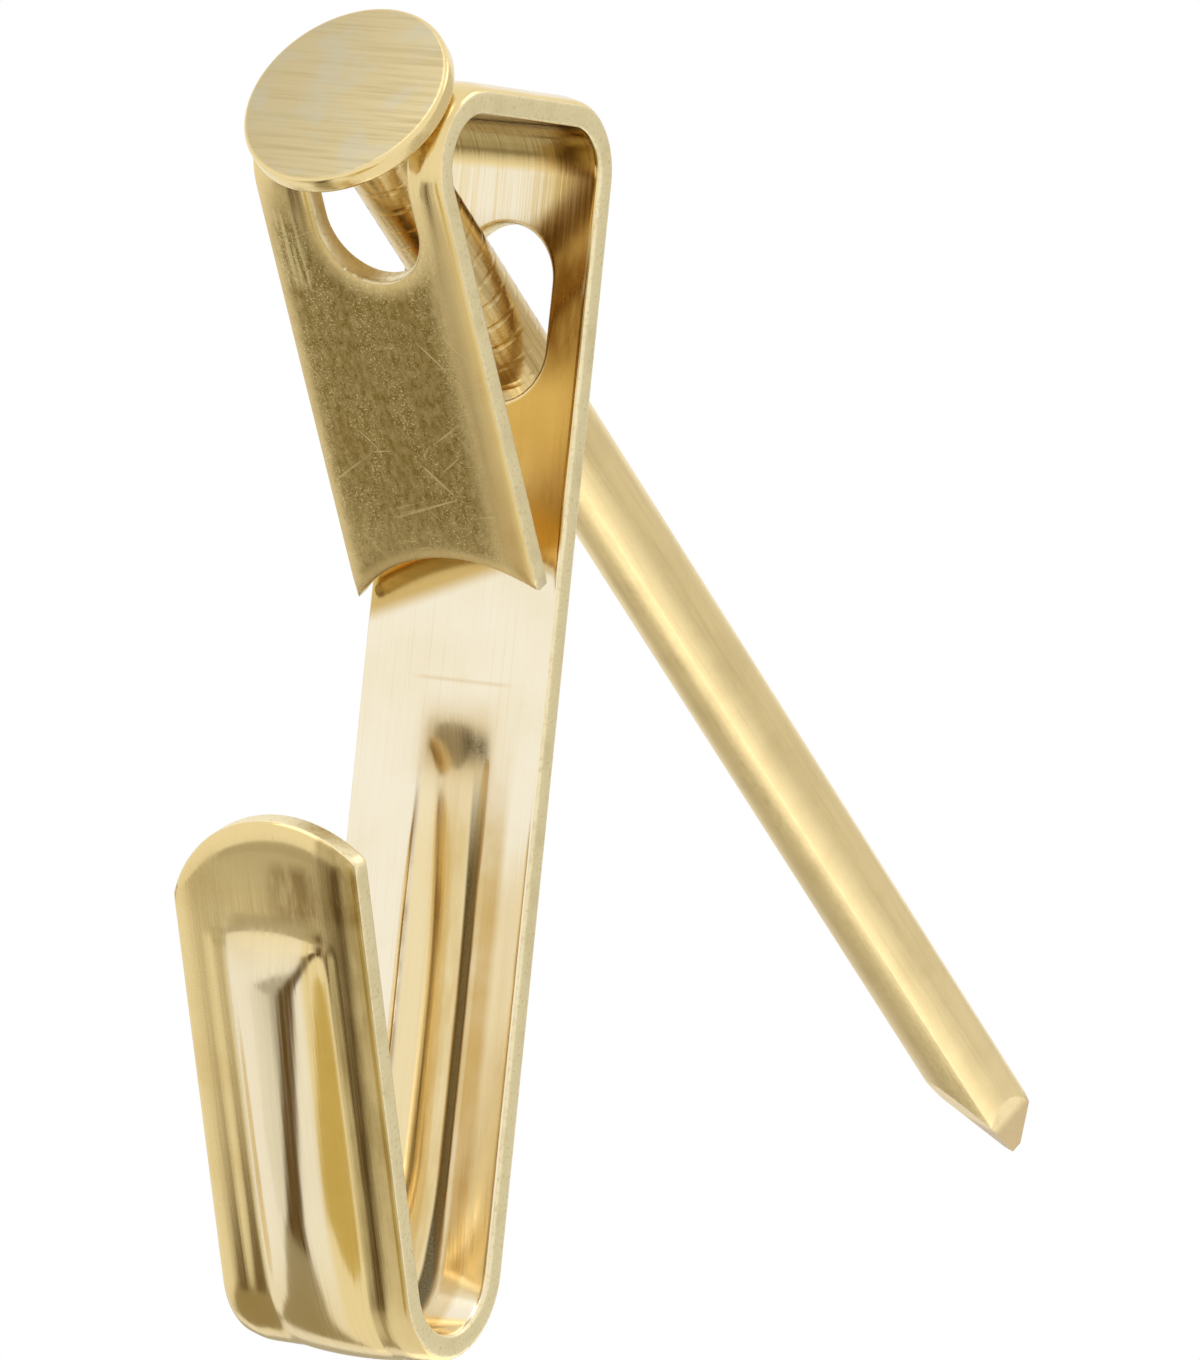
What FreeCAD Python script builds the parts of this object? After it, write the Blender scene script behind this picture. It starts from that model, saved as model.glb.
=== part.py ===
import FreeCAD, Part
import math
import os

import Sketcher

Vector = FreeCAD.Vector
Rotation = FreeCAD.Rotation
Placement = FreeCAD.Placement

# Driving dimensions of the hook and its nail, in millimetres and degrees.
# The wall is the plane y = 0, the front is -Y, and the nail's centre line
# crosses the wall at the origin.
DIMENSIONS = {
    "strip_width": 8.8,
    "sheet": 1.2,
    "loop_top": 9.9,
    "loop_depth": 12.75,
    "loop_bend": 1.95,
    "tab_angle": 32.5,
    "tab_clearance": 0.05,
    "plate_drop": 36.2,
    "hook_bend": 2.4,
    "lip_angle": 22.0,
    "lip_length": 19.2,
    "end_bow": 2.3,
    "end_offset": 0.7,
    "die_offset": 0.4,
    "back_slot_width": 4.4,
    "back_slot_rise": 2.6,
    "front_slot_width": 4.7,
    "front_slot_drop": 3.9,
    "front_slot_rise": 1.7,
    "rib_start": 16.0,
    "rib_gap": 5.6,
    "groove_radius": 1.8,
    "groove_depth": 1.05,
    "nail_angle": 34.5,
    "nail_diameter": 3.3,
    "nail_length": 71.0,
    "head_diameter": 8.6,
    "head_thickness": 0.85,
    "head_clearance": 0.05,
    "grip_pitch": 1.1,
    "grip_width": 0.8,
    "grip_depth": 0.06,
    "grip_count": 15,
    "grip_gap": 1.2,
    "point_length": 5.6,
    "point_flat": 0.25,
    "point_turn": 20.0,
}

# A cut starts this far outside the metal that it goes through.
CUT_CLEAR = 0.3

# The radius of the arc that ends the strip, from its bow across the width.
END_RADIUS = (
    "(((dims.strip_width / 2 + dims.end_offset)^2 + dims.end_bow^2) / (2 * dims.end_bow))"
)

# The tab runs from the front bend until its longer corner meets the plate.
TAB_LENGTH = (
    "((dims.loop_depth - dims.sheet - dims.tab_clearance - (dims.loop_bend + dims.sheet)"
    " + dims.loop_bend * cos(dims.tab_angle * 1 deg)) / sin(dims.tab_angle * 1 deg)"
    " - dims.end_bow)"
)

# The rib stops short of the end of the lip.
RIB_END = "(dims.lip_length - dims.rib_gap)"

# Where the outer face of the tab begins, at the end of the front bend.
TAB_HEIGHT = (
    "(dims.loop_top - (dims.loop_bend + dims.sheet) * (1 + sin(dims.tab_angle * 1 deg)))"
)
TAB_DEPTH = (
    "(dims.loop_depth - (dims.loop_bend + dims.sheet) * (1 - cos(dims.tab_angle * 1 deg)))"
)

# The distance from the wall to the outside of the front bend, along the nail.
BEND_SEAT = (
    "((dims.loop_depth - dims.loop_bend - dims.sheet) * cos(dims.nail_angle * 1 deg)"
    " + (dims.loop_top - dims.loop_bend - dims.sheet) * sin(dims.nail_angle * 1 deg)"
    " + dims.loop_bend + dims.sheet)"
)

# The underside of the head stops just clear of that bend.
HEAD_SEAT = f"({BEND_SEAT} + dims.head_clearance)"


def fill_sheet(doc):
    """Write the driving dimensions to the spreadsheet, one alias each."""
    sheet = doc.addObject("Spreadsheet::Sheet", "dims")
    for row, (alias, value) in enumerate(DIMENSIONS.items(), start=1):
        sheet.set(f"A{row}", alias)
        sheet.set(f"B{row}", str(value))
        sheet.setAlias(f"B{row}", alias)
    doc.recompute()
    return sheet


def origin_plane(body, role):
    """Return one of the body's own origin planes or axes."""
    return next(item for item in body.Origin.OriginFeatures if item.Role == role)


def add_sketch(body, name, role):
    """Attach a new sketch to one of the body's origin planes."""
    sketch = body.newObject("Sketcher::SketchObject", name)
    sketch.AttachmentSupport = [(origin_plane(body, role), "")]
    sketch.MapMode = "FlatFace"
    return sketch


def tilt_sketch(sketch, angle, height, depth):
    """Turn a sketch on the XZ plane about X and set it at a height and depth."""
    sketch.AttachmentOffset = Placement(Vector(), Rotation(Vector(1, 0, 0), 1))
    sketch.setExpression("AttachmentOffset.Rotation.Angle", angle)
    sketch.setExpression("AttachmentOffset.Base.y", height)
    sketch.setExpression("AttachmentOffset.Base.z", depth)


def drive(sketch, kind, *place, name, start, formula):
    """Add a named dimension to a sketch and bind it to a formula."""
    index = sketch.addConstraint(Sketcher.Constraint(kind, *place, start))
    sketch.renameConstraint(index, name)
    sketch.setExpression(f"Constraints.{name}", formula)


def relate(sketch, kind, *place):
    """Add a relation without a size to a sketch."""
    sketch.addConstraint(Sketcher.Constraint(kind, *place))


def line(sketch, start, end):
    """Add a straight edge between two points of the sketch plane."""
    return sketch.addGeometry(Part.LineSegment(Vector(*start, 0), Vector(*end, 0)), False)


def arc(sketch, centre, radius, first, last):
    """Add an arc that turns anticlockwise between two angles in degrees."""
    circle = Part.Circle(Vector(*centre, 0), Vector(0, 0, 1), radius)
    return sketch.addGeometry(
        Part.ArcOfCircle(circle, math.radians(first), math.radians(last)), False
    )


def polar(centre, radius, angle):
    """Return the point at an angle in degrees on a circle."""
    turn = math.radians(angle)
    return (centre[0] + radius * math.cos(turn), centre[1] + radius * math.sin(turn))


def strip_profile(body, d):
    """Draw the folded strip from the hook bend to the top of the tab."""
    sheet, top, depth, drop = d["sheet"], d["loop_top"], d["loop_depth"], d["plate_drop"]
    inner, hook = d["loop_bend"], d["hook_bend"]
    outer = inner + sheet
    back = (-outer, top - outer)
    front = (outer - depth, top - outer)
    low = (-sheet - hook, -drop)
    tab, lip = 180 + d["tab_angle"], 180 + d["lip_angle"]

    s = add_sketch(body, "strip_profile", "YZ_Plane")
    rear = line(s, (0, -drop), (0, back[1]))
    back_out = arc(s, back, outer, 0, 90)
    top_out = line(s, (back[0], top), (front[0], top))
    front_out = arc(s, front, outer, 90, tab)
    tab_cap = line(s, polar(front, outer, tab), polar(front, inner, tab))
    front_in = arc(s, front, inner, 90, tab)
    top_in = line(s, (front[0], top - sheet), (back[0], top - sheet))
    back_in = arc(s, back, inner, 0, 90)
    face = line(s, (-sheet, back[1]), (-sheet, -drop))
    hook_in = arc(s, low, hook, lip, 360)
    lip_cap = line(s, polar(low, hook + sheet, lip), polar(low, hook, lip))
    hook_out = arc(s, low, hook + sheet, lip, 360)

    relate(s, "Tangent", rear, 2, back_out, 1)
    relate(s, "Tangent", back_out, 2, top_out, 1)
    relate(s, "Tangent", top_out, 2, front_out, 1)
    relate(s, "Coincident", front_out, 2, tab_cap, 1)
    relate(s, "Coincident", tab_cap, 2, front_in, 2)
    relate(s, "Tangent", front_in, 1, top_in, 1)
    relate(s, "Tangent", top_in, 2, back_in, 2)
    relate(s, "Tangent", back_in, 1, face, 1)
    relate(s, "Tangent", face, 2, hook_in, 2)
    relate(s, "Coincident", hook_in, 1, lip_cap, 2)
    relate(s, "Coincident", lip_cap, 1, hook_out, 1)
    relate(s, "Tangent", hook_out, 2, rear, 1)
    relate(s, "Coincident", back_out, 3, back_in, 3)
    relate(s, "Coincident", front_out, 3, front_in, 3)
    relate(s, "Coincident", hook_out, 3, hook_in, 3)
    relate(s, "PointOnObject", front_out, 3, tab_cap)
    relate(s, "PointOnObject", hook_out, 3, lip_cap)
    relate(s, "PointOnObject", rear, 1, -2)
    relate(s, "Vertical", rear)
    relate(s, "Vertical", face)
    relate(s, "Horizontal", top_out)
    relate(s, "Horizontal", top_in)

    bend = "dims.loop_bend"
    drive(s, "Radius", back_in, name="back_bend", start=inner, formula=bend)
    drive(s, "Radius", front_in, name="front_bend", start=inner, formula=bend)
    drive(s, "Radius", hook_in, name="hook_bend", start=hook, formula="dims.hook_bend")
    drive(s, "Angle", tab_cap, name="tab_angle", start=math.radians(d["tab_angle"]),
          formula="dims.tab_angle * 1 deg")
    drive(s, "Angle", lip_cap, name="lip_angle", start=math.radians(d["lip_angle"]),
          formula="dims.lip_angle * 1 deg")
    drive(s, "DistanceX", face, 1, -1, 1, name="sheet", start=sheet, formula="dims.sheet")
    drive(s, "DistanceY", -1, 1, top_out, 1, name="loop_top", start=top, formula="dims.loop_top")
    drive(s, "DistanceX", front_out, 3, -1, 1, name="loop_depth", start=depth - outer,
          formula="dims.loop_depth - dims.loop_bend - dims.sheet")
    drive(s, "DistanceY", rear, 1, -1, 1, name="plate_drop", start=drop, formula="dims.plate_drop")

    pad = body.newObject("PartDesign::Pad", "folded_strip")
    pad.Profile = s
    pad.SideType = "Symmetric"
    pad.setExpression("Length", "dims.strip_width")
    return pad


def end_outline(sketch, d, length, formula, rise):
    """Draw a strip end from the bend to its arc.

    The arc's centre lies past the end of the tab, which goes down, and short
    of the end of the lip, which goes up.
    """
    half, bow, offset = d["strip_width"] / 2, d["end_bow"], d["end_offset"]
    radius = ((half + offset) ** 2 + bow ** 2) / (2 * bow)
    centre = (offset, length - radius if rise else -length - radius)
    reach = [math.sqrt(radius ** 2 - (side * half - offset) ** 2) for side in (-1, 1)]
    left, right = ((side * half, centre[1] + reach[i]) for i, side in enumerate((-1, 1)))

    root = line(sketch, (-half, 0), (half, 0))
    right_side = line(sketch, (half, 0), right)
    end = arc(sketch, centre, radius,
              math.degrees(math.atan2(right[1] - centre[1], right[0] - centre[0])),
              math.degrees(math.atan2(left[1] - centre[1], left[0] - centre[0])))
    left_side = line(sketch, left, (-half, 0))
    relate(sketch, "Coincident", root, 2, right_side, 1)
    relate(sketch, "Coincident", right_side, 2, end, 1)
    relate(sketch, "Coincident", end, 2, left_side, 1)
    relate(sketch, "Coincident", left_side, 2, root, 1)
    relate(sketch, "PointOnObject", root, 1, -1)
    relate(sketch, "Vertical", right_side)
    relate(sketch, "Vertical", left_side)
    relate(sketch, "Symmetric", root, 1, root, 2, -2)
    drive(sketch, "DistanceX", root, 1, root, 2, name="width", start=2 * half,
          formula="dims.strip_width")
    drive(sketch, "Radius", end, name="end_radius", start=radius, formula=END_RADIUS)
    drive(sketch, "DistanceX", -1, 1, end, 3, name="end_offset", start=offset,
          formula="dims.end_offset")
    drive(sketch, "DistanceY", -1, 1, end, 3, name="end_centre", start=centre[1], formula=formula)


def strip_end(body, d, name, length, rise, angle, height, depth, centre):
    """Add the flat tab or lip beyond its bend, with its cut end."""
    sketch = add_sketch(body, f"{name}_outline", "XZ_Plane")
    tilt_sketch(sketch, angle, height, depth)
    end_outline(sketch, d, length, centre, rise)
    pad = body.newObject("PartDesign::Pad", name)
    pad.Profile = sketch
    pad.Reversed = True
    pad.setExpression("Length", "dims.sheet")
    return pad


def slot(sketch, d, width, straight, low, names):
    """Draw an upright slot with round ends above a lower centre."""
    centre = (d["die_offset"], low)
    radius = width / 2
    lower = arc(sketch, centre, radius, 180, 360)
    right = line(sketch, (centre[0] + radius, low), (centre[0] + radius, low + straight))
    upper = arc(sketch, (centre[0], low + straight), radius, 0, 180)
    left = line(sketch, (centre[0] - radius, low + straight), (centre[0] - radius, low))
    relate(sketch, "Tangent", lower, 2, right, 1)
    relate(sketch, "Tangent", right, 2, upper, 1)
    relate(sketch, "Tangent", upper, 2, left, 1)
    relate(sketch, "Tangent", left, 2, lower, 1)
    relate(sketch, "Vertical", right)
    drive(sketch, "Radius", lower, name="end", start=radius, formula=names["end"])
    drive(sketch, "DistanceY", right, 1, right, 2, name="straight", start=straight,
          formula=names["straight"])
    drive(sketch, "DistanceX", -1, 1, lower, 3, name="aside", start=centre[0],
          formula="dims.die_offset")
    drive(sketch, "DistanceY", -1, 1, upper, 3, name="height", start=low + straight,
          formula=names["upper"])


def cut_slots(body, d):
    """Punch the two nail slots, one in the plate and one in the front bend."""
    s = add_sketch(body, "back_slot_outline", "XZ_Plane")
    slot(s, d, d["back_slot_width"], d["back_slot_rise"], 0.0,
         {"end": "dims.back_slot_width / 2", "straight": "dims.back_slot_rise",
          "upper": "dims.back_slot_rise"})
    back = body.newObject("PartDesign::Pocket", "back_slot")
    back.Profile = s
    back.SideType = "Symmetric"
    back.setExpression("Length", f"2 * (dims.sheet + {CUT_CLEAR})")

    # The front slot is punched square to the tab and runs up into the bend.
    low = d["front_slot_width"] / 2 - d["front_slot_drop"]
    s = add_sketch(body, "front_slot_outline", "XZ_Plane")
    tilt_sketch(s, "dims.tab_angle * 1 deg", TAB_HEIGHT, TAB_DEPTH)
    slot(s, d, d["front_slot_width"], d["front_slot_rise"] - low, low,
         {"end": "dims.front_slot_width / 2",
          "straight": "dims.front_slot_rise + dims.front_slot_drop - dims.front_slot_width / 2",
          "upper": "dims.front_slot_rise"})
    front = body.newObject("PartDesign::Pocket", "front_slot")
    front.Profile = s
    front.SideType = "Two sides"
    front.setExpression("Length", "dims.loop_bend + dims.sheet")
    front.setExpression("Length2", f"{CUT_CLEAR}")

    # The slot's upper end is round about the nail, and its cut stops short of
    # the plate behind.
    s = add_sketch(body, "nail_hole_outline", "XZ_Plane")
    turn = "(dims.nail_angle * 1 deg)"
    tilt_sketch(s, "-dims.nail_angle * 1 deg", f"{BEND_SEAT} * sin{turn}", f"{BEND_SEAT} * cos{turn}")
    ring = s.addGeometry(
        Part.Circle(Vector(d["die_offset"], 0, 0), Vector(0, 0, 1), d["front_slot_width"] / 2), False
    )
    relate(s, "PointOnObject", ring, 3, -1)
    drive(s, "Radius", ring, name="end", start=d["front_slot_width"] / 2,
          formula="dims.front_slot_width / 2")
    drive(s, "DistanceX", -1, 1, ring, 3, name="aside", start=d["die_offset"],
          formula="dims.die_offset")
    hole = body.newObject("PartDesign::Pocket", "nail_hole")
    hole.Profile = s
    hole.SideType = "Two sides"
    plate = f"(dims.front_slot_width / 2 * tan{turn} + dims.sheet / cos{turn})"
    hole.setExpression("Length", f"{BEND_SEAT} - {plate} - {CUT_CLEAR}")
    hole.setExpression("Length2", f"{CUT_CLEAR}")
    return hole


def rib_path(body, d, name, aside, radius, radius_formula):
    """Draw the run of the rib down the plate, round the bend and up the lip."""
    drop, start = d["plate_drop"], d["rib_start"]
    run = d["lip_length"] - d["rib_gap"]
    low = (-d["sheet"] - d["hook_bend"], -drop)
    lip = 180 + d["lip_angle"]
    foot = polar(low, radius, lip)
    rise = math.radians(d["lip_angle"])
    tip = (foot[0] - run * math.sin(rise), foot[1] + run * math.cos(rise))
    s = add_sketch(body, name, "YZ_Plane")
    down = line(s, (-aside, -start), (-aside, -drop))
    bend = arc(s, low, radius, lip, 360)
    up = line(s, foot, tip)
    relate(s, "Tangent", down, 2, bend, 2)
    relate(s, "Tangent", bend, 1, up, 1)
    relate(s, "Vertical", down)
    drive(s, "DistanceY", down, 1, -1, 1, name="start", start=start, formula="dims.rib_start")
    drive(s, "DistanceY", bend, 3, -1, 1, name="drop", start=drop, formula="dims.plate_drop")
    drive(s, "DistanceX", bend, 3, -1, 1, name="centre", start=-low[0],
          formula="dims.sheet + dims.hook_bend")
    drive(s, "Radius", bend, name="bend", start=radius, formula=radius_formula)
    drive(s, "Angle", up, name="lip_angle", start=math.pi / 2 + rise,
          formula="90 deg + dims.lip_angle * 1 deg")
    drive(s, "Distance", up, 1, up, 2, name="rise", start=run, formula=RIB_END)
    return s


def rib_section(body, d, name, radius, chord, radius_formula, chord_formula):
    """Draw the round segment that the rib pushes out of or into the sheet."""
    centre = (d["die_offset"], d["groove_depth"] - d["groove_radius"] - d["sheet"])
    half = math.sqrt(radius ** 2 - (chord - centre[1]) ** 2)
    turn = math.degrees(math.atan2(chord - centre[1], half))
    s = add_sketch(body, name, "XY_Plane")
    s.setExpression("AttachmentOffset.Base.z", "-dims.rib_start")
    crown = arc(s, centre, radius, turn, 180 - turn)
    flat = line(s, (centre[0] - half, chord), (centre[0] + half, chord))
    relate(s, "Coincident", crown, 2, flat, 1)
    relate(s, "Coincident", flat, 2, crown, 1)
    relate(s, "Horizontal", flat)
    drive(s, "Radius", crown, name="crown", start=radius, formula=radius_formula)
    drive(s, "DistanceX", -1, 1, crown, 3, name="aside", start=centre[0], formula="dims.die_offset")
    drive(s, "DistanceY", crown, 3, -1, 1, name="centre", start=-centre[1],
          formula="dims.sheet + dims.groove_radius - dims.groove_depth")
    drive(s, "DistanceY", flat, 1, -1, 1, name="chord", start=-chord, formula=chord_formula)
    return s


def rib_run(body, kind, name, section, path):
    """Sweep the rib's section along its run."""
    pipe = body.newObject(kind, name)
    pipe.Profile = section
    pipe.Spine = (path, [])
    return pipe


def rib_cap(body, kind, name, radius, flat, place, turn):
    """Round off one end of the rib with a cap of a sphere.

    The cap's axis is normal to the sheet, and flat is how far its base lies
    from the sphere's centre.
    """
    cap = body.newObject(kind, name)
    cap.Placement = Placement(Vector(), Rotation(Vector(1, 0, 0), 1))
    cap.setExpression("Radius", radius)
    cap.setExpression("Angle1", f"asin(({flat}) / ({radius}))")
    cap.Angle2 = 90
    cap.Angle3 = 360
    for axis, formula in zip("xyz", place):
        cap.setExpression(f"Placement.Base.{axis}", formula)
    cap.setExpression("Placement.Rotation.Angle", turn)
    return cap


def press_rib(body, d):
    """Press the stiffening rib: a bead on the outside, a groove on the inside."""
    crown = "(dims.groove_radius + dims.sheet)"
    groove = "dims.groove_radius"
    outer = d["hook_bend"] + d["sheet"]
    bead_flat = "dims.groove_radius - dims.groove_depth + dims.sheet / 2"
    groove_flat = f"dims.groove_radius - dims.groove_depth - {CUT_CLEAR}"
    bead = rib_section(body, d, "bead_section", d["groove_radius"] + d["sheet"],
                       -d["sheet"] / 2, crown, "dims.sheet / 2")
    bead_path = rib_path(body, d, "bead_path", 0.0, outer, "dims.hook_bend + dims.sheet")
    hollow = rib_section(body, d, "groove_section", d["groove_radius"],
                         -d["sheet"] - CUT_CLEAR, groove, f"dims.sheet + {CUT_CLEAR}")
    hollow_path = rib_path(body, d, "groove_path", d["sheet"], d["hook_bend"],
                           "dims.hook_bend")

    # Each end of the rib is a cap about the circle's centre there.
    inset = "(dims.sheet + dims.groove_radius - dims.groove_depth)"
    lean = "(dims.lip_angle * 1 deg)"
    bend = "(dims.hook_bend + dims.sheet)"
    plate_end = ("dims.die_offset", f"-{inset}", "-dims.rib_start")
    lip_end = (
        "dims.die_offset",
        f"-{bend} - ({bend} - {inset}) * cos{lean} - {RIB_END} * sin{lean}",
        f"-dims.plate_drop - ({bend} - {inset}) * sin{lean} + {RIB_END} * cos{lean}",
    )
    ends = (("plate", plate_end, "-90 deg"), ("lip", lip_end, f"90 deg + {lean}"))
    rib_run(body, "PartDesign::AdditivePipe", "bead", bead, bead_path)
    for end, place, turn in ends:
        rib_cap(body, "PartDesign::AdditiveSphere", f"bead_{end}_end", crown, bead_flat, place, turn)
    last = rib_run(body, "PartDesign::SubtractivePipe", "groove", hollow, hollow_path)
    for end, place, turn in ends:
        last = rib_cap(body, "PartDesign::SubtractiveSphere", f"groove_{end}_end", groove,
                       groove_flat, place, turn)
    return last


def make_hook_strip(doc, d):
    """Build the hook, one strip of sheet brass folded to a loop and a hook."""
    body = doc.addObject("PartDesign::Body", "hook_strip")
    body.Label = "hook_strip"
    strip_profile(body, d)
    turn = math.radians(d["tab_angle"])
    reach = d["loop_depth"] - 2 * d["sheet"] - d["tab_clearance"] - d["loop_bend"]
    tab_length = (reach + d["loop_bend"] * math.cos(turn)) / math.sin(turn) - d["end_bow"]
    strip_end(body, d, "tab", tab_length, False, "dims.tab_angle * 1 deg", TAB_HEIGHT, TAB_DEPTH,
              f"-{TAB_LENGTH} - {END_RADIUS}")
    bend = "(dims.hook_bend + dims.sheet)"
    lip = "(dims.lip_angle * 1 deg)"
    strip_end(body, d, "lip", d["lip_length"], True, "dims.lip_angle * 1 deg",
              f"-dims.plate_drop - {bend} * sin{lip}", f"{bend} + {bend} * cos{lip}",
              f"dims.lip_length - {END_RADIUS}")
    cut_slots(body, d)
    body.Tip = press_rib(body, d)
    return body


def nail_profile(body, d):
    """Revolve the head and shank about the nail's centre line."""
    head, radius = d["head_diameter"] / 2, d["nail_diameter"] / 2
    thick, length = d["head_thickness"], d["nail_length"]
    s = add_sketch(body, "nail_profile", "XZ_Plane")
    s.setExpression("AttachmentOffset.Base.y", f"-{HEAD_SEAT} - dims.head_thickness")
    corners = [(0, 0), (head, 0), (head, thick), (radius, thick), (radius, length), (0, length)]
    edges = [line(s, a, b) for a, b in zip(corners, corners[1:] + corners[:1])]
    for edge, following in zip(edges, edges[1:] + edges[:1]):
        relate(s, "Coincident", edge, 2, following, 1)
    for edge in edges[0:5:2]:
        relate(s, "Horizontal", edge)
    for edge in edges[1:6:2]:
        relate(s, "Vertical", edge)
    relate(s, "Coincident", edges[0], 1, -1, 1)
    drive(s, "DistanceX", edges[0], 1, edges[0], 2, name="head", start=head,
          formula="dims.head_diameter / 2")
    drive(s, "DistanceY", edges[1], 1, edges[1], 2, name="head_thickness", start=thick,
          formula="dims.head_thickness")
    drive(s, "DistanceX", edges[4], 2, edges[4], 1, name="shank", start=radius,
          formula="dims.nail_diameter / 2")
    drive(s, "DistanceY", edges[0], 1, edges[4], 1, name="length", start=length,
          formula="dims.nail_length")
    turned = body.newObject("PartDesign::Revolution", "head_and_shank")
    turned.Profile = s
    turned.ReferenceAxis = (s, ["V_Axis"])
    turned.Angle = 360
    return turned


def roll_grip(body, d):
    """Roll the shallow grip rings round the shank below the head.

    A ring's section is a notch drawn as far outside the shank as it is deep.
    """
    radius, depth, width = d["nail_diameter"] / 2, d["grip_depth"], d["grip_width"]
    s = add_sketch(body, "grip_ring", "XZ_Plane")
    s.setExpression("AttachmentOffset.Base.y", f"-{HEAD_SEAT} + dims.grip_gap")
    corners = [(radius - depth, 0), (radius + depth, -width), (radius + depth, width)]
    edges = [line(s, a, b) for a, b in zip(corners, corners[1:] + corners[:1])]
    for edge, following in zip(edges, edges[1:] + edges[:1]):
        relate(s, "Coincident", edge, 2, following, 1)
    relate(s, "PointOnObject", edges[0], 1, -1)
    relate(s, "Symmetric", edges[1], 1, edges[1], 2, -1)
    drive(s, "DistanceX", -1, 1, edges[0], 1, name="root", start=radius - depth,
          formula="dims.nail_diameter / 2 - dims.grip_depth")
    drive(s, "DistanceX", -1, 1, edges[1], 1, name="outside", start=radius + depth,
          formula="dims.nail_diameter / 2 + dims.grip_depth")
    drive(s, "DistanceY", edges[1], 1, edges[1], 2, name="mouth", start=2 * width,
          formula="2 * dims.grip_width")
    groove = body.newObject("PartDesign::Groove", "grip_groove")
    groove.Profile = s
    groove.ReferenceAxis = (s, ["V_Axis"])
    groove.Angle = 360
    rings = body.newObject("PartDesign::LinearPattern", "grip_rings")
    rings.Originals = [groove]
    rings.Direction = (origin_plane(body, "Z_Axis"), [""])
    rings.setExpression("Occurrences", "dims.grip_count")
    rings.setExpression("Length", "dims.grip_pitch * (dims.grip_count - 1)")
    body.Tip = rings
    return rings


def cut_point(body, d):
    """Cut the four facets of the nail's diamond point."""
    radius, long, flat = d["nail_diameter"] / 2, d["point_length"], d["point_flat"]
    wide = radius + CUT_CLEAR
    s = add_sketch(body, "point_facet", "XZ_Plane")
    s.AttachmentOffset = Placement(Vector(), Rotation(Vector(0, 1, 0), 1))
    s.setExpression("AttachmentOffset.Rotation.Angle", "dims.point_turn * 1 deg")
    s.setExpression("AttachmentOffset.Base.y",
                    f"dims.nail_length - dims.head_thickness - {HEAD_SEAT}")
    corners = [(flat, CUT_CLEAR), (flat, 0), (radius, -long), (wide, -long), (wide, CUT_CLEAR)]
    edges = [line(s, a, b) for a, b in zip(corners, corners[1:] + corners[:1])]
    for edge, following in zip(edges, edges[1:] + edges[:1]):
        relate(s, "Coincident", edge, 2, following, 1)
    relate(s, "Vertical", edges[0])
    relate(s, "Horizontal", edges[2])
    relate(s, "Vertical", edges[3])
    relate(s, "Horizontal", edges[4])
    relate(s, "PointOnObject", edges[0], 2, -1)
    drive(s, "DistanceX", -1, 1, edges[0], 2, name="flat", start=flat, formula="dims.point_flat")
    drive(s, "DistanceX", -1, 1, edges[1], 2, name="shank", start=radius,
          formula="dims.nail_diameter / 2")
    drive(s, "DistanceY", edges[1], 2, -1, 1, name="length", start=long,
          formula="dims.point_length")
    drive(s, "DistanceX", edges[2], 1, edges[2], 2, name="past", start=CUT_CLEAR,
          formula=f"{CUT_CLEAR}")
    drive(s, "DistanceY", edges[0], 2, edges[0], 1, name="above", start=CUT_CLEAR,
          formula=f"{CUT_CLEAR}")
    facet = body.newObject("PartDesign::Pocket", "facet")
    facet.Profile = s
    facet.SideType = "Symmetric"
    facet.setExpression("Length", "2 * dims.nail_diameter")
    facets = body.newObject("PartDesign::PolarPattern", "diamond_point")
    facets.Originals = [facet]
    facets.Axis = (origin_plane(body, "Z_Axis"), [""])
    facets.Angle = 360
    facets.Occurrences = 4
    body.Tip = facets
    return facets


def make_nail(doc, d):
    """Build the nail along its own Z axis and lay it through the two slots."""
    body = doc.addObject("PartDesign::Body", "nail")
    body.Label = "nail"
    nail_profile(body, d)
    roll_grip(body, d)
    cut_point(body, d)
    body.Placement = Placement(Vector(), Rotation(Vector(1, 0, 0), -1))
    body.setExpression("Placement.Rotation.Angle", "-90 deg - dims.nail_angle * 1 deg")
    return body


def check(doc, bodies):
    """Stop if any object failed or any finished shape is unsound."""
    for item in doc.Objects:
        if any(state in ("Invalid", "Error") for state in item.State):
            raise RuntimeError(f"{item.Name} failed: {item.State} {item.getStatusString()}")
    for body in bodies:
        shape = body.Shape
        if shape.isNull() or not shape.isValid() or len(shape.Solids) != 1:
            raise RuntimeError(f"{body.Label} is not one sound solid")


def main():
    """Build both pieces, check them and write one file for each."""
    doc = FreeCAD.newDocument("picture_hook")
    fill_sheet(doc)
    bodies = [make_hook_strip(doc, DIMENSIONS), make_nail(doc, DIMENSIONS)]
    doc.recompute()
    check(doc, bodies)
    os.makedirs("parts", exist_ok=True)
    for body in bodies:
        body.Shape.exportStep(f"parts/{body.Label}.step")
        print(body.Label, round(body.Shape.Volume, 2), body.Shape.BoundBox)


main()
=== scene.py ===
import logging
import math
from dataclasses import dataclass, field
from enum import Enum
from typing import Protocol

import bmesh
import bpy
from mathutils import Matrix, Vector, kdtree


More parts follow.
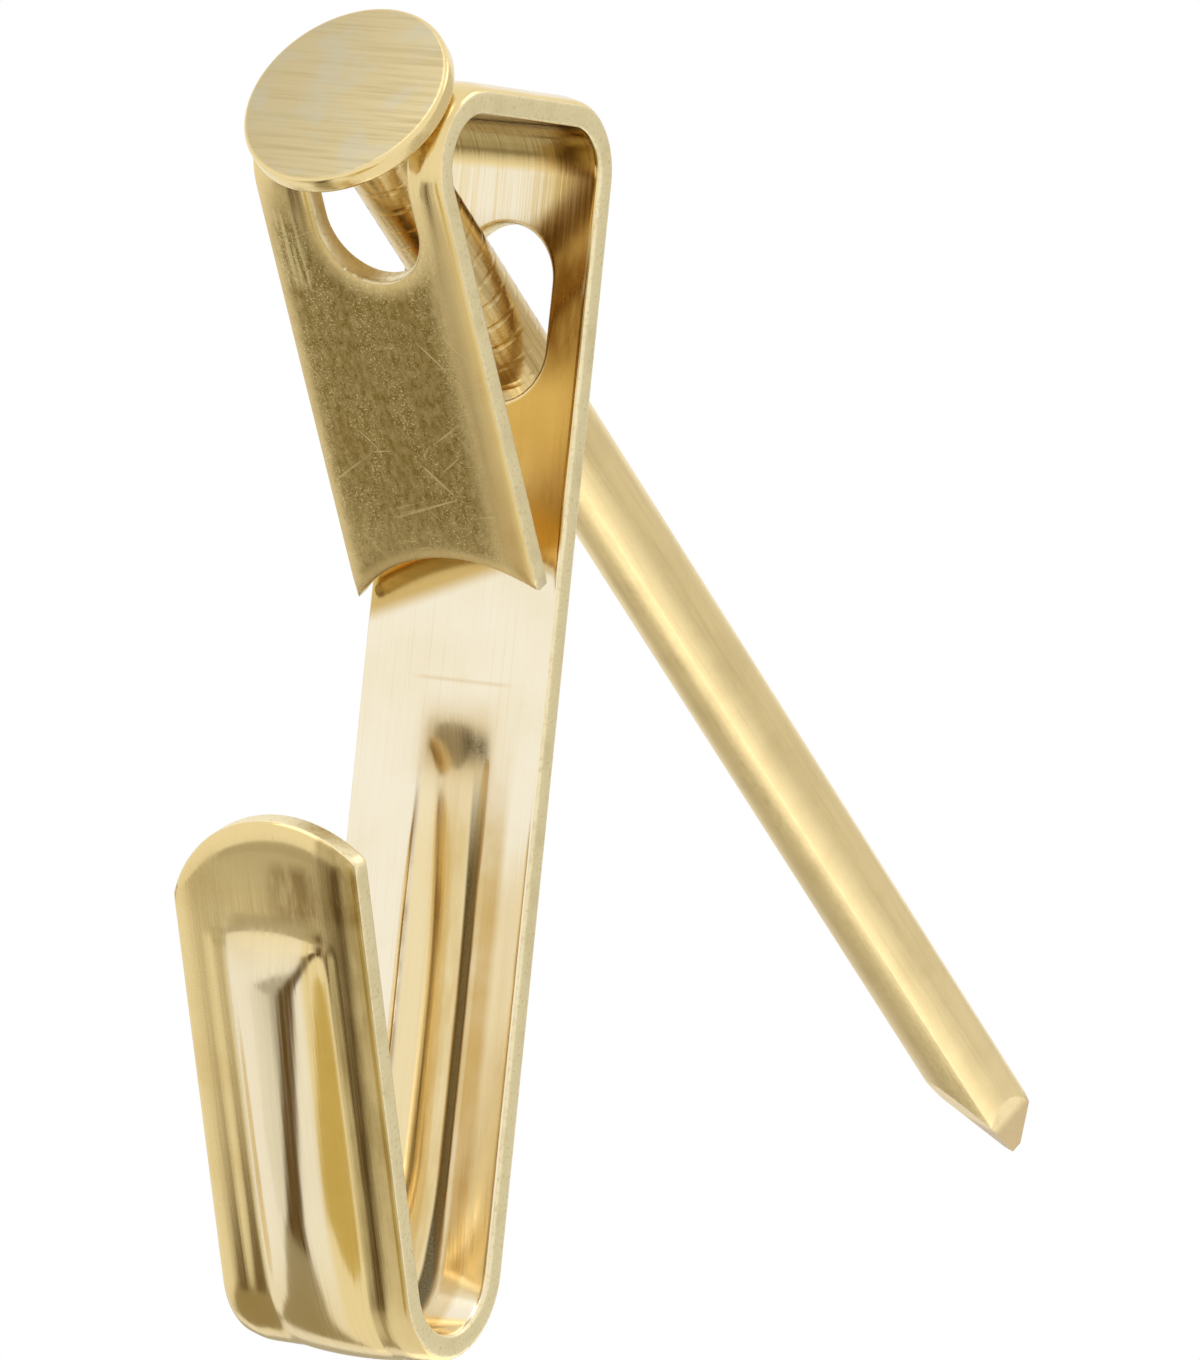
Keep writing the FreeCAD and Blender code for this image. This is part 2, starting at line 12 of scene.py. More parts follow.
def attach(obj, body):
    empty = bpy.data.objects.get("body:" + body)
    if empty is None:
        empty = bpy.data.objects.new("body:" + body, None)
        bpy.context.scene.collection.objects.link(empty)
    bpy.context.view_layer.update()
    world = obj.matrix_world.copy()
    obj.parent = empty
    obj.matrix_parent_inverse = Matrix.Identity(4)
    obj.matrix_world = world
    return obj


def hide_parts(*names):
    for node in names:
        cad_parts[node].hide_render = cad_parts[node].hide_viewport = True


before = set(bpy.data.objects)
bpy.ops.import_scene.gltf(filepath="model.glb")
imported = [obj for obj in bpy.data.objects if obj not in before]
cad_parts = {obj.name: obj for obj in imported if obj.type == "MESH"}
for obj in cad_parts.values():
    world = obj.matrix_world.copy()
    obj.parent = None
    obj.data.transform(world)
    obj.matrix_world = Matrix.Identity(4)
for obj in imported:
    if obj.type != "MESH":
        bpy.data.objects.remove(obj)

LOG = logging.getLogger("picture_hook")
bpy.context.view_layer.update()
MM = 0.001
BODY = "root"
NEAR = 0.01 * MM
TOUCHING = 0.001 * MM
ON_PLANE = 0.0001 * MM
UNIT_HALF = 0.5

Socket = bpy.types.NodeSocket
Colour = tuple[float, float, float]
Triple = tuple[float, float, float]
Pair = tuple[float, float]


class Side(Enum):
    """The two kinds of surface on a cut strip, by material index."""

    FACE = 0
    CUT_EDGE = 1


class HeadSide(Enum):
    """The two kinds of surface on the nail, by material index."""

    SHANK = 0
    HEAD = 1


def smooth_step(low: float, high: float, value: float) -> float:
    """Return a smooth 0 to 1 rise of value between low and high."""
    share = min(1.0, max(0.0, (value - low) / (high - low)))
    return share * share * (3.0 - 2.0 * share)


def soft_max(first: float, second: float, reach: float) -> float:
    """Return the larger value, rounded off where the two are within reach."""
    blend = max(reach - abs(first - second), 0.0) / reach
    return max(first, second) + blend * blend * reach / 4.0


@dataclass(frozen=True)
class Leg:
    """One straight or curved stretch of the folded strip's outer face."""

    length: float
    turn: float = 0.0


@dataclass
class Walk:
    """A path in the YZ plane made of legs, each starting where the last ends.

    Args:
        start: The (y, z) point where the path begins.
        heading: The direction of the first leg, in radians from +Y to +Z.
        legs: The stretches, in order.
    """

    start: Pair
    heading: float
    legs: list[Leg]

    @property
    def length(self) -> float:
        """Return the whole length of the path."""
        return sum(leg.length for leg in self.legs)

    def at(self, distance: float) -> tuple[Vector, float]:
        """Find the point and heading at a distance along the path.

        Args:
            distance: How far to go. The last leg is carried on past its end.

        Returns:
            The point, with x zero, and the heading there in radians.
        """
        y, z = self.start
        heading = self.heading
        for number, leg in enumerate(self.legs):
            last = number == len(self.legs) - 1
            step = distance if last or distance < leg.length else leg.length
            if leg.turn:
                radius = leg.length / leg.turn
                after = heading + step / radius
                y += radius * (math.sin(after) - math.sin(heading))
                z -= radius * (math.cos(after) - math.cos(heading))
                heading = after
            else:
                y += step * math.cos(heading)
                z += step * math.sin(heading)
            distance -= step
            if distance <= 0.0:
                break
        return Vector((0.0, y, z)), heading


@dataclass(frozen=True)
class Slot:
    """A round-ended slot punched in the flat strip."""

    centre: float
    low: float
    high: float
    radius: float

    def gap(self, u: float, v: float) -> float:
        """Return the distance from the slot's outline, less than 0 inside."""
        nearest = min(max(v, self.low), self.high)
        return math.hypot(u - self.centre, v - nearest) - self.radius

    def outward(self, u: float, v: float) -> Vector:
        """Return the direction that leads straight away from the slot."""
        nearest = min(max(v, self.low), self.high)
        return Vector((u - self.centre, v - nearest, 0.0)).normalized()

    def grown(self, margin: float) -> "Slot":
        """Return a slot that is larger all round by a margin."""
        return Slot(self.centre, self.low, self.high, self.radius + margin)


@dataclass(frozen=True)
class Pattern:
    """A noise pattern: how fine it is, and how it is drawn out and turned."""

    density: float
    detail: float
    rough: float
    stretch: Triple = (1.0, 1.0, 1.0)
    turn: float = 0.0


@dataclass(frozen=True)
class Breaks:
    """How a pattern breaks up a mark: its share below start and above stop."""

    start: float
    stop: float
    below: float
    above: float


@dataclass(frozen=True)
class Span:
    """A stretch that a mark covers, and the margin outside it where it fades."""

    low: float
    high: float
    soft: float


class Shader:
    """A node tree of one metal, with short calls for the nodes it needs."""

    def __init__(self, name: str) -> None:
        """Make an empty metal material.

        Args:
            name: The material's name.
        """
        self.material = bpy.data.materials.new(name)
        self.material.use_nodes = True
        self.nodes = self.material.node_tree.nodes
        self.links = self.material.node_tree.links
        self.surface = self.nodes["Principled BSDF"]
        self.surface.inputs["Metallic"].default_value = 1.0

    def add(self, kind: str, **settings: object) -> bpy.types.Node:
        """Add a node and set its properties.

        Args:
            kind: The type of the node.
            **settings: The properties by name.

        Returns:
            The new node.
        """
        node = self.nodes.new(kind)
        for name, value in settings.items():
            setattr(node, name, value)
        return node

    def join(self, source: Socket, target: Socket) -> None:
        """Link an output to an input."""
        self.links.new(source, target)

    def attribute(self, name: str, output: str = "Vector") -> Socket:
        """Return an attribute of the piece's points."""
        return self.add("ShaderNodeAttribute", attribute_name=name).outputs[output]

    def split(self, source: Socket) -> tuple[Socket, ...]:
        """Split a vector.

        Args:
            source: The vector.

        Returns:
            Its three parts.
        """
        node = self.add("ShaderNodeSeparateXYZ")
        self.join(source, node.inputs["Vector"])
        return tuple(node.outputs)

    def noise(self, where: Socket, pattern: Pattern) -> Socket:
        """Lay a noise pattern.

        Args:
            where: The coordinates that it follows.
            pattern: How fine it is, and how it is drawn out and turned.

        Returns:
            The pattern, between 0 and 1.
        """
        mapping = self.add("ShaderNodeMapping", vector_type="TEXTURE")
        mapping.inputs["Rotation"].default_value[2] = pattern.turn
        mapping.inputs["Scale"].default_value = [1.0 / part for part in pattern.stretch]
        self.join(where, mapping.inputs["Vector"])
        node = self.add("ShaderNodeTexNoise")
        self.join(mapping.outputs["Vector"], node.inputs["Vector"])
        node.inputs["Scale"].default_value = pattern.density
        node.inputs["Detail"].default_value = pattern.detail
        node.inputs["Roughness"].default_value = pattern.rough
        return node.outputs["Fac"]

    def ramp(self, source: Socket, low: float, high: float, to_low: float, to_high: float) -> Socket:
        """Map a value smoothly from one range to another, held at both ends.

        Args:
            source: The value.
            low: Where the first range starts.
            high: Where the first range stops.
            to_low: The result at low and below.
            to_high: The result at high and above.

        Returns:
            The mapped value.
        """
        node = self.add("ShaderNodeMapRange", interpolation_type="SMOOTHSTEP")
        self.join(source, node.inputs["Value"])
        for name, value in zip(("From Min", "From Max", "To Min", "To Max"), (low, high, to_low, to_high)):
            node.inputs[name].default_value = value
        return node.outputs["Result"]

    def rise(self, value: Socket, run: Pair, origin: float = 0.0) -> Socket:
        """Return a rise from 0 to 1 over a run that is measured from an origin."""
        return self.ramp(value, origin + run[0], origin + run[1], 0.0, 1.0)

    def fall(self, value: Socket, run: Pair, origin: float = 0.0, top: float = 1.0) -> Socket:
        """Return a fall from a top share to 0 over a run that is measured from an origin."""
        return self.ramp(value, origin + run[0], origin + run[1], top, 0.0)

    def band(self, value: Socket, span: Span, origin: float = 0.0) -> Socket:
        """Return 1 within a span that is measured from an origin, and 0 past its soft margins.

        Args:
            value: The value that the span is on.
            span: The stretch and its margin.
            origin: Where the span is measured from.

        Returns:
            The share at each point.
        """
        rise = self.rise(value, (span.low - span.soft, span.low), origin)
        return self.product(rise, self.fall(value, (span.high, span.high + span.soft), origin))

    def broken(self, pattern: Socket, breaks: Breaks) -> Socket:
        """Return the share of a mark that a pattern breaks up."""
        return self.ramp(pattern, breaks.start, breaks.stop, breaks.below, breaks.above)

    def work_out(self, operation: str, *values: Socket | float) -> Socket:
        """Work out an operation on one or two values.

        Args:
            operation: The name of the operation.
            *values: The values, as sockets or as numbers.

        Returns:
            The result.
        """
        node = self.add("ShaderNodeMath", operation=operation)
        for value, socket in zip(values, node.inputs):
            if isinstance(value, float):
                socket.default_value = value
            else:
                self.join(value, socket)
        return node.outputs["Value"]

    def product(self, *shares: Socket | float) -> Socket:
        """Multiply several shares.

        Args:
            *shares: The shares, as sockets or as numbers.

        Returns:
            Their product.
        """
        whole = shares[0]
        for share in shares[1:]:
            whole = self.work_out("MULTIPLY", whole, share)
        return whole

    def away(self, value: Socket, place: float) -> Socket:
        """Return how far a value is from a place, to either side."""
        return self.work_out("ABSOLUTE", self.work_out("SUBTRACT", value, place))

    def tint(self, under: Socket | Colour, over: Colour, share: Socket) -> Socket:
        """Lay a colour over another.

        Args:
            under: The colour below.
            over: The colour laid on it.
            share: How much of it shows, between 0 and 1.

        Returns:
            The mixed colour.
        """
        node = self.add("ShaderNodeMix", data_type="RGBA")
        below, above = [socket for socket in node.inputs if socket.type == "RGBA"]
        self.join(share, node.inputs["Factor"])
        if isinstance(under, tuple):
            below.default_value = (*under, 1.0)
        else:
            self.join(under, below)
        above.default_value = (*over, 1.0)
        return next(socket for socket in node.outputs if socket.type == "RGBA")

    def finish(self, colour: Socket, roughness: Socket, height: Socket, depth: float) -> bpy.types.Material:
        """Link the finished looks to the metal.

        Args:
            colour: The base colour.
            roughness: The roughness.
            height: The relief, between 0 and about 1.
            depth: How deep the relief is.

        Returns:
            The material.
        """
        bump = self.add("ShaderNodeBump")
        bump.inputs["Strength"].default_value = 1.0
        bump.inputs["Distance"].default_value = depth
        self.join(height, bump.inputs["Height"])
        self.join(colour, self.surface.inputs["Base Color"])
        self.join(roughness, self.surface.inputs["Roughness"])
        self.join(bump.outputs["Normal"], self.surface.inputs["Normal"])
        return self.material


@dataclass(frozen=True)
class StripZones:
    """Where the parts of the flat strip lie, and over what runs they pass into each other."""

    half_width: float
    tab_start: float
    tab_end: float
    plate_end: float
    lip_end: float
    rib_top: float
    rib_centre: float
    groove_half: float
    bead_half: float
    rib_run: Pair = (-6.0 * MM, 0.0)
    tab_run: Pair = (-1.5 * MM, 2.5 * MM)
    lip_run: Pair = (-14.0 * MM, -6.0 * MM)
    crease_run: Pair = (-0.14 * MM, 0.0)


@dataclass(frozen=True)
class PlatingTones:
    """The tones of brass plating and of the light and shade painted on it, from bright to dark."""

    gold: Colour = (0.84, 0.66, 0.32)
    # Painted highlight: on the plate, on the loop's back wall and on the bead's crest.
    highlight_cream: Colour = (0.92, 0.84, 0.66)
    # The plating's own darker gold; also painted shade in and beside the groove, round its run-out and at the tab's
    # end.
    deep: Colour = (0.62, 0.42, 0.13)
    # Worn olive plating on the tab, where it is also a painted dark reflection; also painted shade on the loop's
    # ceiling, and the darker right side of the lip.
    rubbed_and_shade: Colour = (0.235, 0.152, 0.03)
    spot: Colour = (0.78, 0.65, 0.33)
    # Painted shade in the groove's creases, round its run-out and round the slot; also the stain near the lip's
    # tip.
    brown_and_shade: Colour = (0.30, 0.17, 0.045)
    # Pits on the tab; also the painted shadow on the groove's right flank and the painted shade in its run-out.
    smut_and_shadow: Colour = (0.065, 0.042, 0.009)


@dataclass(frozen=True)
class RollingPatterns:
    """The patterns that rolling and handling leave all over the strip."""

    brush: Pattern = Pattern(9000.0, 3.0, 0.6, (1.0, 0.012, 1.0))
    cloud: Pattern = Pattern(260.0, 4.0, 0.55)
    grain: Pattern = Pattern(11000.0, 2.0, 0.5)
    drift: Pattern = Pattern(900.0, 4.0, 0.6, (1.0, 0.25, 1.0))


class PlatingCoat(Shader):
    """The plating while it is laid: the strip's coordinates, its patterns and the colour so far."""

    def __init__(self, name: str, zones: StripZones, tones: PlatingTones,
                 patterns: RollingPatterns) -> None:
        """Read the flat strip's coordinates and start with plain gold.

        Args:
            name: The material's name.
            zones: The parts of the flat strip.
            tones: The tones to lay.
            patterns: The patterns all over the strip.
        """
        super().__init__(name)
        self.zones = zones
        self.tones = tones
        self.colour: Socket | Colour = tones.gold
        self.flat = self.attribute("flat_place")
        self.u, self.v, self.inside = self.split(self.flat)
        self.outside = self.work_out("SUBTRACT", 1.0, self.inside)
        self.edge = self.attribute("edge_share", "Fac")
        self.aside = self.work_out("SUBTRACT", self.u, zones.rib_centre)
        self.off_rib = self.away(self.u, zones.rib_centre)
        self.past_groove = self.work_out("SUBTRACT", self.u, zones.rib_centre + zones.groove_half)
        self.brush = self.noise(self.flat, patterns.brush)
        self.cloud = self.noise(self.flat, patterns.cloud)
        self.grain = self.noise(self.flat, patterns.grain)
        self.drift = self.noise(self.flat, patterns.drift)
        self.ribbed = self.product(self.fall(self.v, zones.rib_run, zones.rib_top), self.inside)
        self.on_tab = self.product(self.rise(self.v, zones.tab_run, zones.tab_start), self.outside)
        self.on_lip = self.product(self.fall(self.v, zones.lip_run, zones.plate_end), self.outside)
        off_bead = self.rise(self.off_rib, zones.crease_run, zones.bead_half)
        self.lip_sides = self.product(self.on_lip, off_bead)

    def lay(self, tone: Colour, *shares: Socket | float) -> None:
        """Lay a tone over the colour so far by the product of some shares."""
        self.colour = self.tint(self.colour, tone, self.product(*shares))


class WearAndPaintedLight(Protocol):
    """One part of the plating: its worn and stained places, and its painted light and shade."""

    def lay(self, coat: PlatingCoat) -> None:
        """Lay the part's tones on the coat."""


@dataclass(frozen=True)
class RolledPlate:
    """The plate, with clouds and with lines along the rolling, and a pale cream painted highlight over it."""

    deep_clouds: Breaks = Breaks(0.42, 0.75, 0.0, 0.3)
    deep_lines: Breaks = Breaks(0.55, 0.8, 0.0, 0.25)
    pale_top: float = -8.0 * MM
    pale_fade: float = 5.0 * MM
    pale_clouds: Breaks = Breaks(0.3, 0.7, 1.0, 0.8)
    pale_lines: Breaks = Breaks(0.5, 0.8, 1.0, 0.7)

    def lay(self, coat: PlatingCoat) -> None:
        """Deepen the gold in clouds and lines, and lay the pale painted highlight of the plate over it.

        Args:
            coat: The plating so far.
        """
        tones = coat.tones
        pale = Span(coat.zones.lip_end, self.pale_top, self.pale_fade)
        coat.lay(tones.deep, coat.broken(coat.cloud, self.deep_clouds))
        coat.lay(tones.deep, coat.broken(coat.brush, self.deep_lines))
        # The pale cream over the plate is a painted highlight.
        coat.lay(tones.highlight_cream, coat.band(coat.v, pale), coat.inside,
                 coat.broken(coat.cloud, self.pale_clouds), coat.broken(coat.brush, self.pale_lines))


@dataclass(frozen=True)
class GrooveShading:
    """The rib's groove: gold as painted reflection, a painted shadow down its right flank, painted shade beside it
    and in its creases, and darker gold along its bottom.
    """

    gold_share: float = 0.7
    bottom_run: Pair = (0.2 * MM, 0.9 * MM)
    bottom_drift: Breaks = Breaks(0.3, 0.6, 0.15, 0.55)
    flank: Span = Span(-0.95 * MM, -0.15 * MM, 0.2 * MM)
    flank_run: Pair = (-7.0 * MM, -0.5 * MM)
    flank_share: float = 0.97
    flank_grain: Breaks = Breaks(0.3, 0.6, 1.0, 0.88)
    beside: Span = Span(0.1 * MM, 0.8 * MM, 0.5 * MM)
    beside_clouds: Breaks = Breaks(0.3, 0.7, 0.5, 0.8)
    crease_run: Pair = (0.0, 0.14 * MM)
    crease_drift: Breaks = Breaks(0.35, 0.6, 0.1, 0.7)

    def lay(self, coat: PlatingCoat) -> None:
        """Gild the groove as painted reflection, darken its bottom, and paint shade on its right flank, beside it
        and in its creases.

        Args:
            coat: The plating so far.
        """
        tones, zones = coat.tones, coat.zones
        # Gold laid back in the groove is painted reflection.
        groove = coat.fall(coat.off_rib, zones.crease_run, zones.groove_half)
        coat.lay(tones.gold, groove, coat.ribbed, self.gold_share)
        # Darker gold along the groove's bottom.
        bottom = coat.fall(coat.off_rib, self.bottom_run)
        coat.lay(tones.deep, bottom, coat.ribbed, coat.broken(coat.drift, self.bottom_drift))
        # A painted shadow down the groove's right flank.
        along = coat.fall(coat.v, self.flank_run, zones.rib_top, self.flank_share)
        coat.lay(tones.smut_and_shadow, coat.band(coat.past_groove, self.flank), coat.inside, along,
                 coat.broken(coat.grain, self.flank_grain))
        # Painted shade on the flange beside the groove.
        coat.lay(tones.deep, coat.band(coat.past_groove, self.beside), coat.ribbed,
                 coat.broken(coat.cloud, self.beside_clouds))
        # Painted shade in the groove's creases.
        crease = coat.fall(coat.away(coat.off_rib, zones.groove_half), self.crease_run)
        coat.lay(tones.brown_and_shade, crease, coat.ribbed, coat.broken(coat.drift, self.crease_drift))


@dataclass(frozen=True)
class RibTopShade:
    """The small soft painted shade where the groove runs out on the plate."""

    drop: float = 1.5 * MM
    halo_along: Pair = (0.5 * MM, 2.4 * MM)
    halo_across: Pair = (0.9 * MM, 2.3 * MM)
    halo_share: float = 0.55
    fade_along: Pair = (0.2 * MM, 1.4 * MM)
    fade_across: Span = Span(-2.9 * MM, -1.3 * MM, 0.5 * MM)
    fade_share: float = 0.4
    core_along: Pair = (0.0, 1.1 * MM)
    core_across: Span = Span(-1.2 * MM, -0.6 * MM, 0.8 * MM)
    core_drift: Breaks = Breaks(0.3, 0.6, 0.55, 0.85)
    core_grain: Breaks = Breaks(0.35, 0.6, 0.75, 1.0)

    def lay(self, coat: PlatingCoat) -> None:
        """Lay painted shade: a golden halo, a darker fade to the left and a dark core.

        Args:
            coat: The plating so far.
        """
        tones = coat.tones
        # Painted shade where the groove's hollow runs out.
        along = coat.away(coat.v, coat.zones.rib_top - self.drop)
        coat.lay(tones.deep, coat.fall(along, self.halo_along), coat.fall(coat.off_rib, self.halo_across),
                 coat.inside, self.halo_share)
        coat.lay(tones.brown_and_shade, coat.fall(along, self.fade_along, top=self.fade_share),
                 coat.band(coat.past_groove, self.fade_across), coat.inside)
        core = coat.product(coat.fall(along, self.core_along),
                            coat.band(coat.past_groove, self.core_across))
        coat.lay(tones.smut_and_shadow, core, coat.inside, coat.broken(coat.drift, self.core_drift),
                 coat.broken(coat.grain, self.core_grain))


@dataclass(frozen=True)
class TabShadeAndPressLine:
    """The slanting corner of the plate at the tab's end, darkened as painted shade of the tab, and a fine line from
    the press.
    """

    corner_edge: float = -9.6 * MM
    corner_slope: float = 0.4
    corner_run: Pair = (-0.2 * MM, 0.6 * MM)
    corner_top: Pair = (-7.0 * MM, -5.0 * MM)
    corner_share: float = 0.95
    press_level: float = -13.25 * MM
    press_run: Pair = (0.0, 0.14 * MM)
    press_across: Pair = (1.6 * MM, 2.6 * MM)
    press_share: float = 0.3

    def lay(self, coat: PlatingCoat) -> None:
        """Paint the tab's shade on the corner at its end, and draw the press line.

        Args:
            coat: The plating so far.
        """
        # Painted shade of the tab on the plate.
        level = coat.work_out("SUBTRACT", coat.v, coat.product(coat.u, self.corner_slope))
        coat.lay(coat.tones.deep, coat.rise(level, self.corner_run, self.corner_edge), coat.inside,
                 coat.fall(coat.v, self.corner_top, top=self.corner_share))
        press = coat.fall(coat.away(coat.v, self.press_level), self.press_run, top=self.press_share)
        coat.lay(coat.tones.deep, press, coat.inside, coat.fall(coat.off_rib, self.press_across))


@dataclass(frozen=True)
class LoopLightAndShade:
    """The inside of the loop: painted shade on its ceiling and round the slot, and a painted highlight on its back
    wall.
    """

    ceiling: Span = Span(8.2 * MM, 22.0 * MM, 1.0 * MM)
    ceiling_lines: Breaks = Breaks(0.35, 0.65, 0.6, 0.85)
    wall: Span = Span(4.2 * MM, 6.8 * MM, 0.6 * MM)
    wall_across: Pair = (1.2 * MM, 2.6 * MM)
    wall_lines: Breaks = Breaks(0.4, 0.65, 0.9, 0.3)
    round_slot: Span = Span(0.5 * MM, 3.0 * MM, 2.5 * MM)
    slot_drift: Breaks = Breaks(0.35, 0.65, 0.6, 1.0)

    def lay(self, coat: PlatingCoat) -> None:
        """Paint shade on the ceiling and round the slot, and a pale highlight on the back wall.

        Args:
            coat: The plating so far.
        """
        tones = coat.tones
        # Painted shade on the ceiling.
        coat.lay(tones.rubbed_and_shade, coat.band(coat.v, self.ceiling), coat.inside,
                 coat.broken(coat.brush, self.ceiling_lines))
        # Painted highlight on the back wall.
        coat.lay(tones.highlight_cream, coat.band(coat.v, self.wall), coat.inside,
                 coat.broken(coat.brush, self.wall_lines), coat.fall(coat.u, self.wall_across))
        # Painted shade round the slot.
        coat.lay(tones.brown_and_shade, coat.band(coat.v, self.round_slot), coat.inside,
                 coat.broken(coat.drift, self.slot_drift))


@dataclass(frozen=True)
class TabWearAndReflection:
    """The olive face of the tab, worn and darkened as painted reflection, lighter as painted highlight near its
    edges and slot, with pits, pale specks and scratches.
    """

    left_run: Pair = (0.0, 2.2 * MM)
    left_share: float = 0.9
    right_run: Pair = (-2.0 * MM, -0.6 * MM)
    right_share: float = 0.15
    end_run: Pair = (-3.0 * MM, 0.0)
    end_share: float = 0.8
    rim_breaks: Breaks = Breaks(0.0, 0.8, 1.0, 0.35)
    blotch: Pattern = Pattern(3300.0, 6.0, 0.8, (1.0, 0.55, 1.0))
    blotch_breaks: Breaks = Breaks(0.35, 0.65, 0.66, 1.0)
    stroke: Pattern = Pattern(5200.0, 2.0, 0.5, (1.0, 0.05, 1.0))
    stroke_breaks: Breaks = Breaks(0.45, 0.6, 0.0, 0.6)
    stroke_across: Span = Span(-3.7 * MM, -2.6 * MM, 0.3 * MM)
    stroke_along: Span = Span(1.2 * MM, 4.0 * MM, 0.6 * MM)
    pit: Pattern = Pattern(6500.0, 3.0, 0.6)
    pit_breaks: Breaks = Breaks(0.30, 0.42, 0.55, 0.0)
    speck_grain: Breaks = Breaks(0.56, 0.64, 0.0, 1.0)
    speck_drift: Breaks = Breaks(0.40, 0.60, 0.15, 1.0)
    scratches: tuple[Pattern, ...] = (
        Pattern(4600.0, 1.0, 0.4, (1.0, 0.05, 1.0), 0.95),
        Pattern(4000.0, 1.0, 0.4, (1.0, 0.05, 1.0), 1.25),
        Pattern(5200.0, 1.0, 0.4, (1.0, 0.05, 1.0), -0.75),
        Pattern(5600.0, 1.0, 0.4, (1.0, 0.05, 1.0), 1.45),
    )
    scratch_breaks: Breaks = Breaks(0.70, 0.75, 0.0, 0.8)
    scratch_clouds: Breaks = Breaks(0.35, 0.6, 0.2, 1.0)
    worn_share: float = 0.75

    def lay(self, coat: PlatingCoat) -> None:
        """Lay the tab's worn tone with its painted dark reflection, then pale strokes, pits, specks and scratches
        over it.

        Args:
            coat: The plating so far.
        """
        tones = coat.tones
        # The tab's worn olive tone is also a painted dark reflection.
        rubbed_and_shade = coat.product(coat.on_tab, self.away_from_edges(coat))
        blotch = coat.broken(coat.noise(coat.flat, self.blotch), self.blotch_breaks)
        coat.lay(tones.rubbed_and_shade, rubbed_and_shade, blotch)
        stroke = coat.broken(coat.noise(coat.flat, self.stroke), self.stroke_breaks)
        coat.lay(tones.spot, coat.band(coat.u, self.stroke_across),
                 coat.band(coat.v, self.stroke_along, coat.zones.tab_start), stroke)
        coat.lay(tones.smut_and_shadow, coat.broken(coat.noise(coat.flat, self.pit), self.pit_breaks), rubbed_and_shade)
        worn = coat.product(coat.broken(coat.grain, self.speck_grain),
                            coat.broken(coat.drift, self.speck_drift))
        clouds = coat.broken(coat.cloud, self.scratch_clouds)
        for scratch in self.scratches:
            line = coat.broken(coat.noise(coat.flat, scratch), self.scratch_breaks)
            worn = coat.work_out("MAXIMUM", worn, coat.product(line, clouds))
        coat.lay(tones.spot, worn, coat.on_tab, self.worn_share)

    def away_from_edges(self, coat: PlatingCoat) -> Socket:
        """Find where the tab's dark tone is laid most.

        Args:
            coat: The plating so far.

        Returns:
            The share of the dark tone, least along the right edge and round the slot, where highlight is painted.
        """
        left, right, end = -coat.zones.half_width, coat.zones.half_width, coat.zones.tab_end
        # Less of the dark tone along the sides, near the cut edges and round the slot is painted highlight of the
        # rolled edges; it also thins a little towards the tab's end.
        return coat.product(
            coat.ramp(coat.u, left + self.left_run[0], left + self.left_run[1], self.left_share, 1.0),
            coat.broken(coat.edge, self.rim_breaks),
            coat.ramp(coat.u, right + self.right_run[0], right + self.right_run[1], 1.0, self.right_share),
            coat.ramp(coat.v, end + self.end_run[0], end + self.end_run[1], 1.0, self.end_share))


@dataclass(frozen=True)
class LipWearAndHighlight:
    """The lip with a stain near its tip, a painted highlight on its bead's crest and a darker right side."""

    tip: Span = Span(1.6 * MM, 3.0 * MM, 0.8 * MM)
    tip_across: Pair = (-0.5 * MM, 1.5 * MM)
    tip_drift: Breaks = Breaks(0.35, 0.6, 0.2, 0.75)
    crest_right: float = 1.2 * MM
    crest_soft: float = 0.3 * MM
    crest_run: Pair = (3.0 * MM, 6.0 * MM)
    crest_share: float = 0.65
    dull_inset: float = 1.4 * MM
    dull_drift: Breaks = Breaks(0.35, 0.65, 0.4, 0.65)

    def lay(self, coat: PlatingCoat) -> None:
        """Stain the tip, paint the highlight on the bead's crest and darken the right side.

        Args:
            coat: The plating so far.
        """
        tones, zones = coat.tones, coat.zones
        coat.lay(tones.brown_and_shade, coat.band(coat.v, self.tip, zones.lip_end), coat.outside,
                 coat.rise(coat.u, self.tip_across), coat.broken(coat.drift, self.tip_drift))
        # Painted highlight on the bead's crest.
        crest = Span(-zones.bead_half, self.crest_right, self.crest_soft)
        coat.lay(tones.highlight_cream, coat.band(coat.aside, crest), coat.on_lip,
                 coat.rise(coat.v, self.crest_run, zones.lip_end), self.crest_share)
        right = (zones.rib_centre + zones.bead_half, zones.half_width - self.dull_inset)
        coat.lay(tones.rubbed_and_shade, coat.lip_sides, coat.rise(coat.u, right),
                 coat.broken(coat.drift, self.dull_drift))


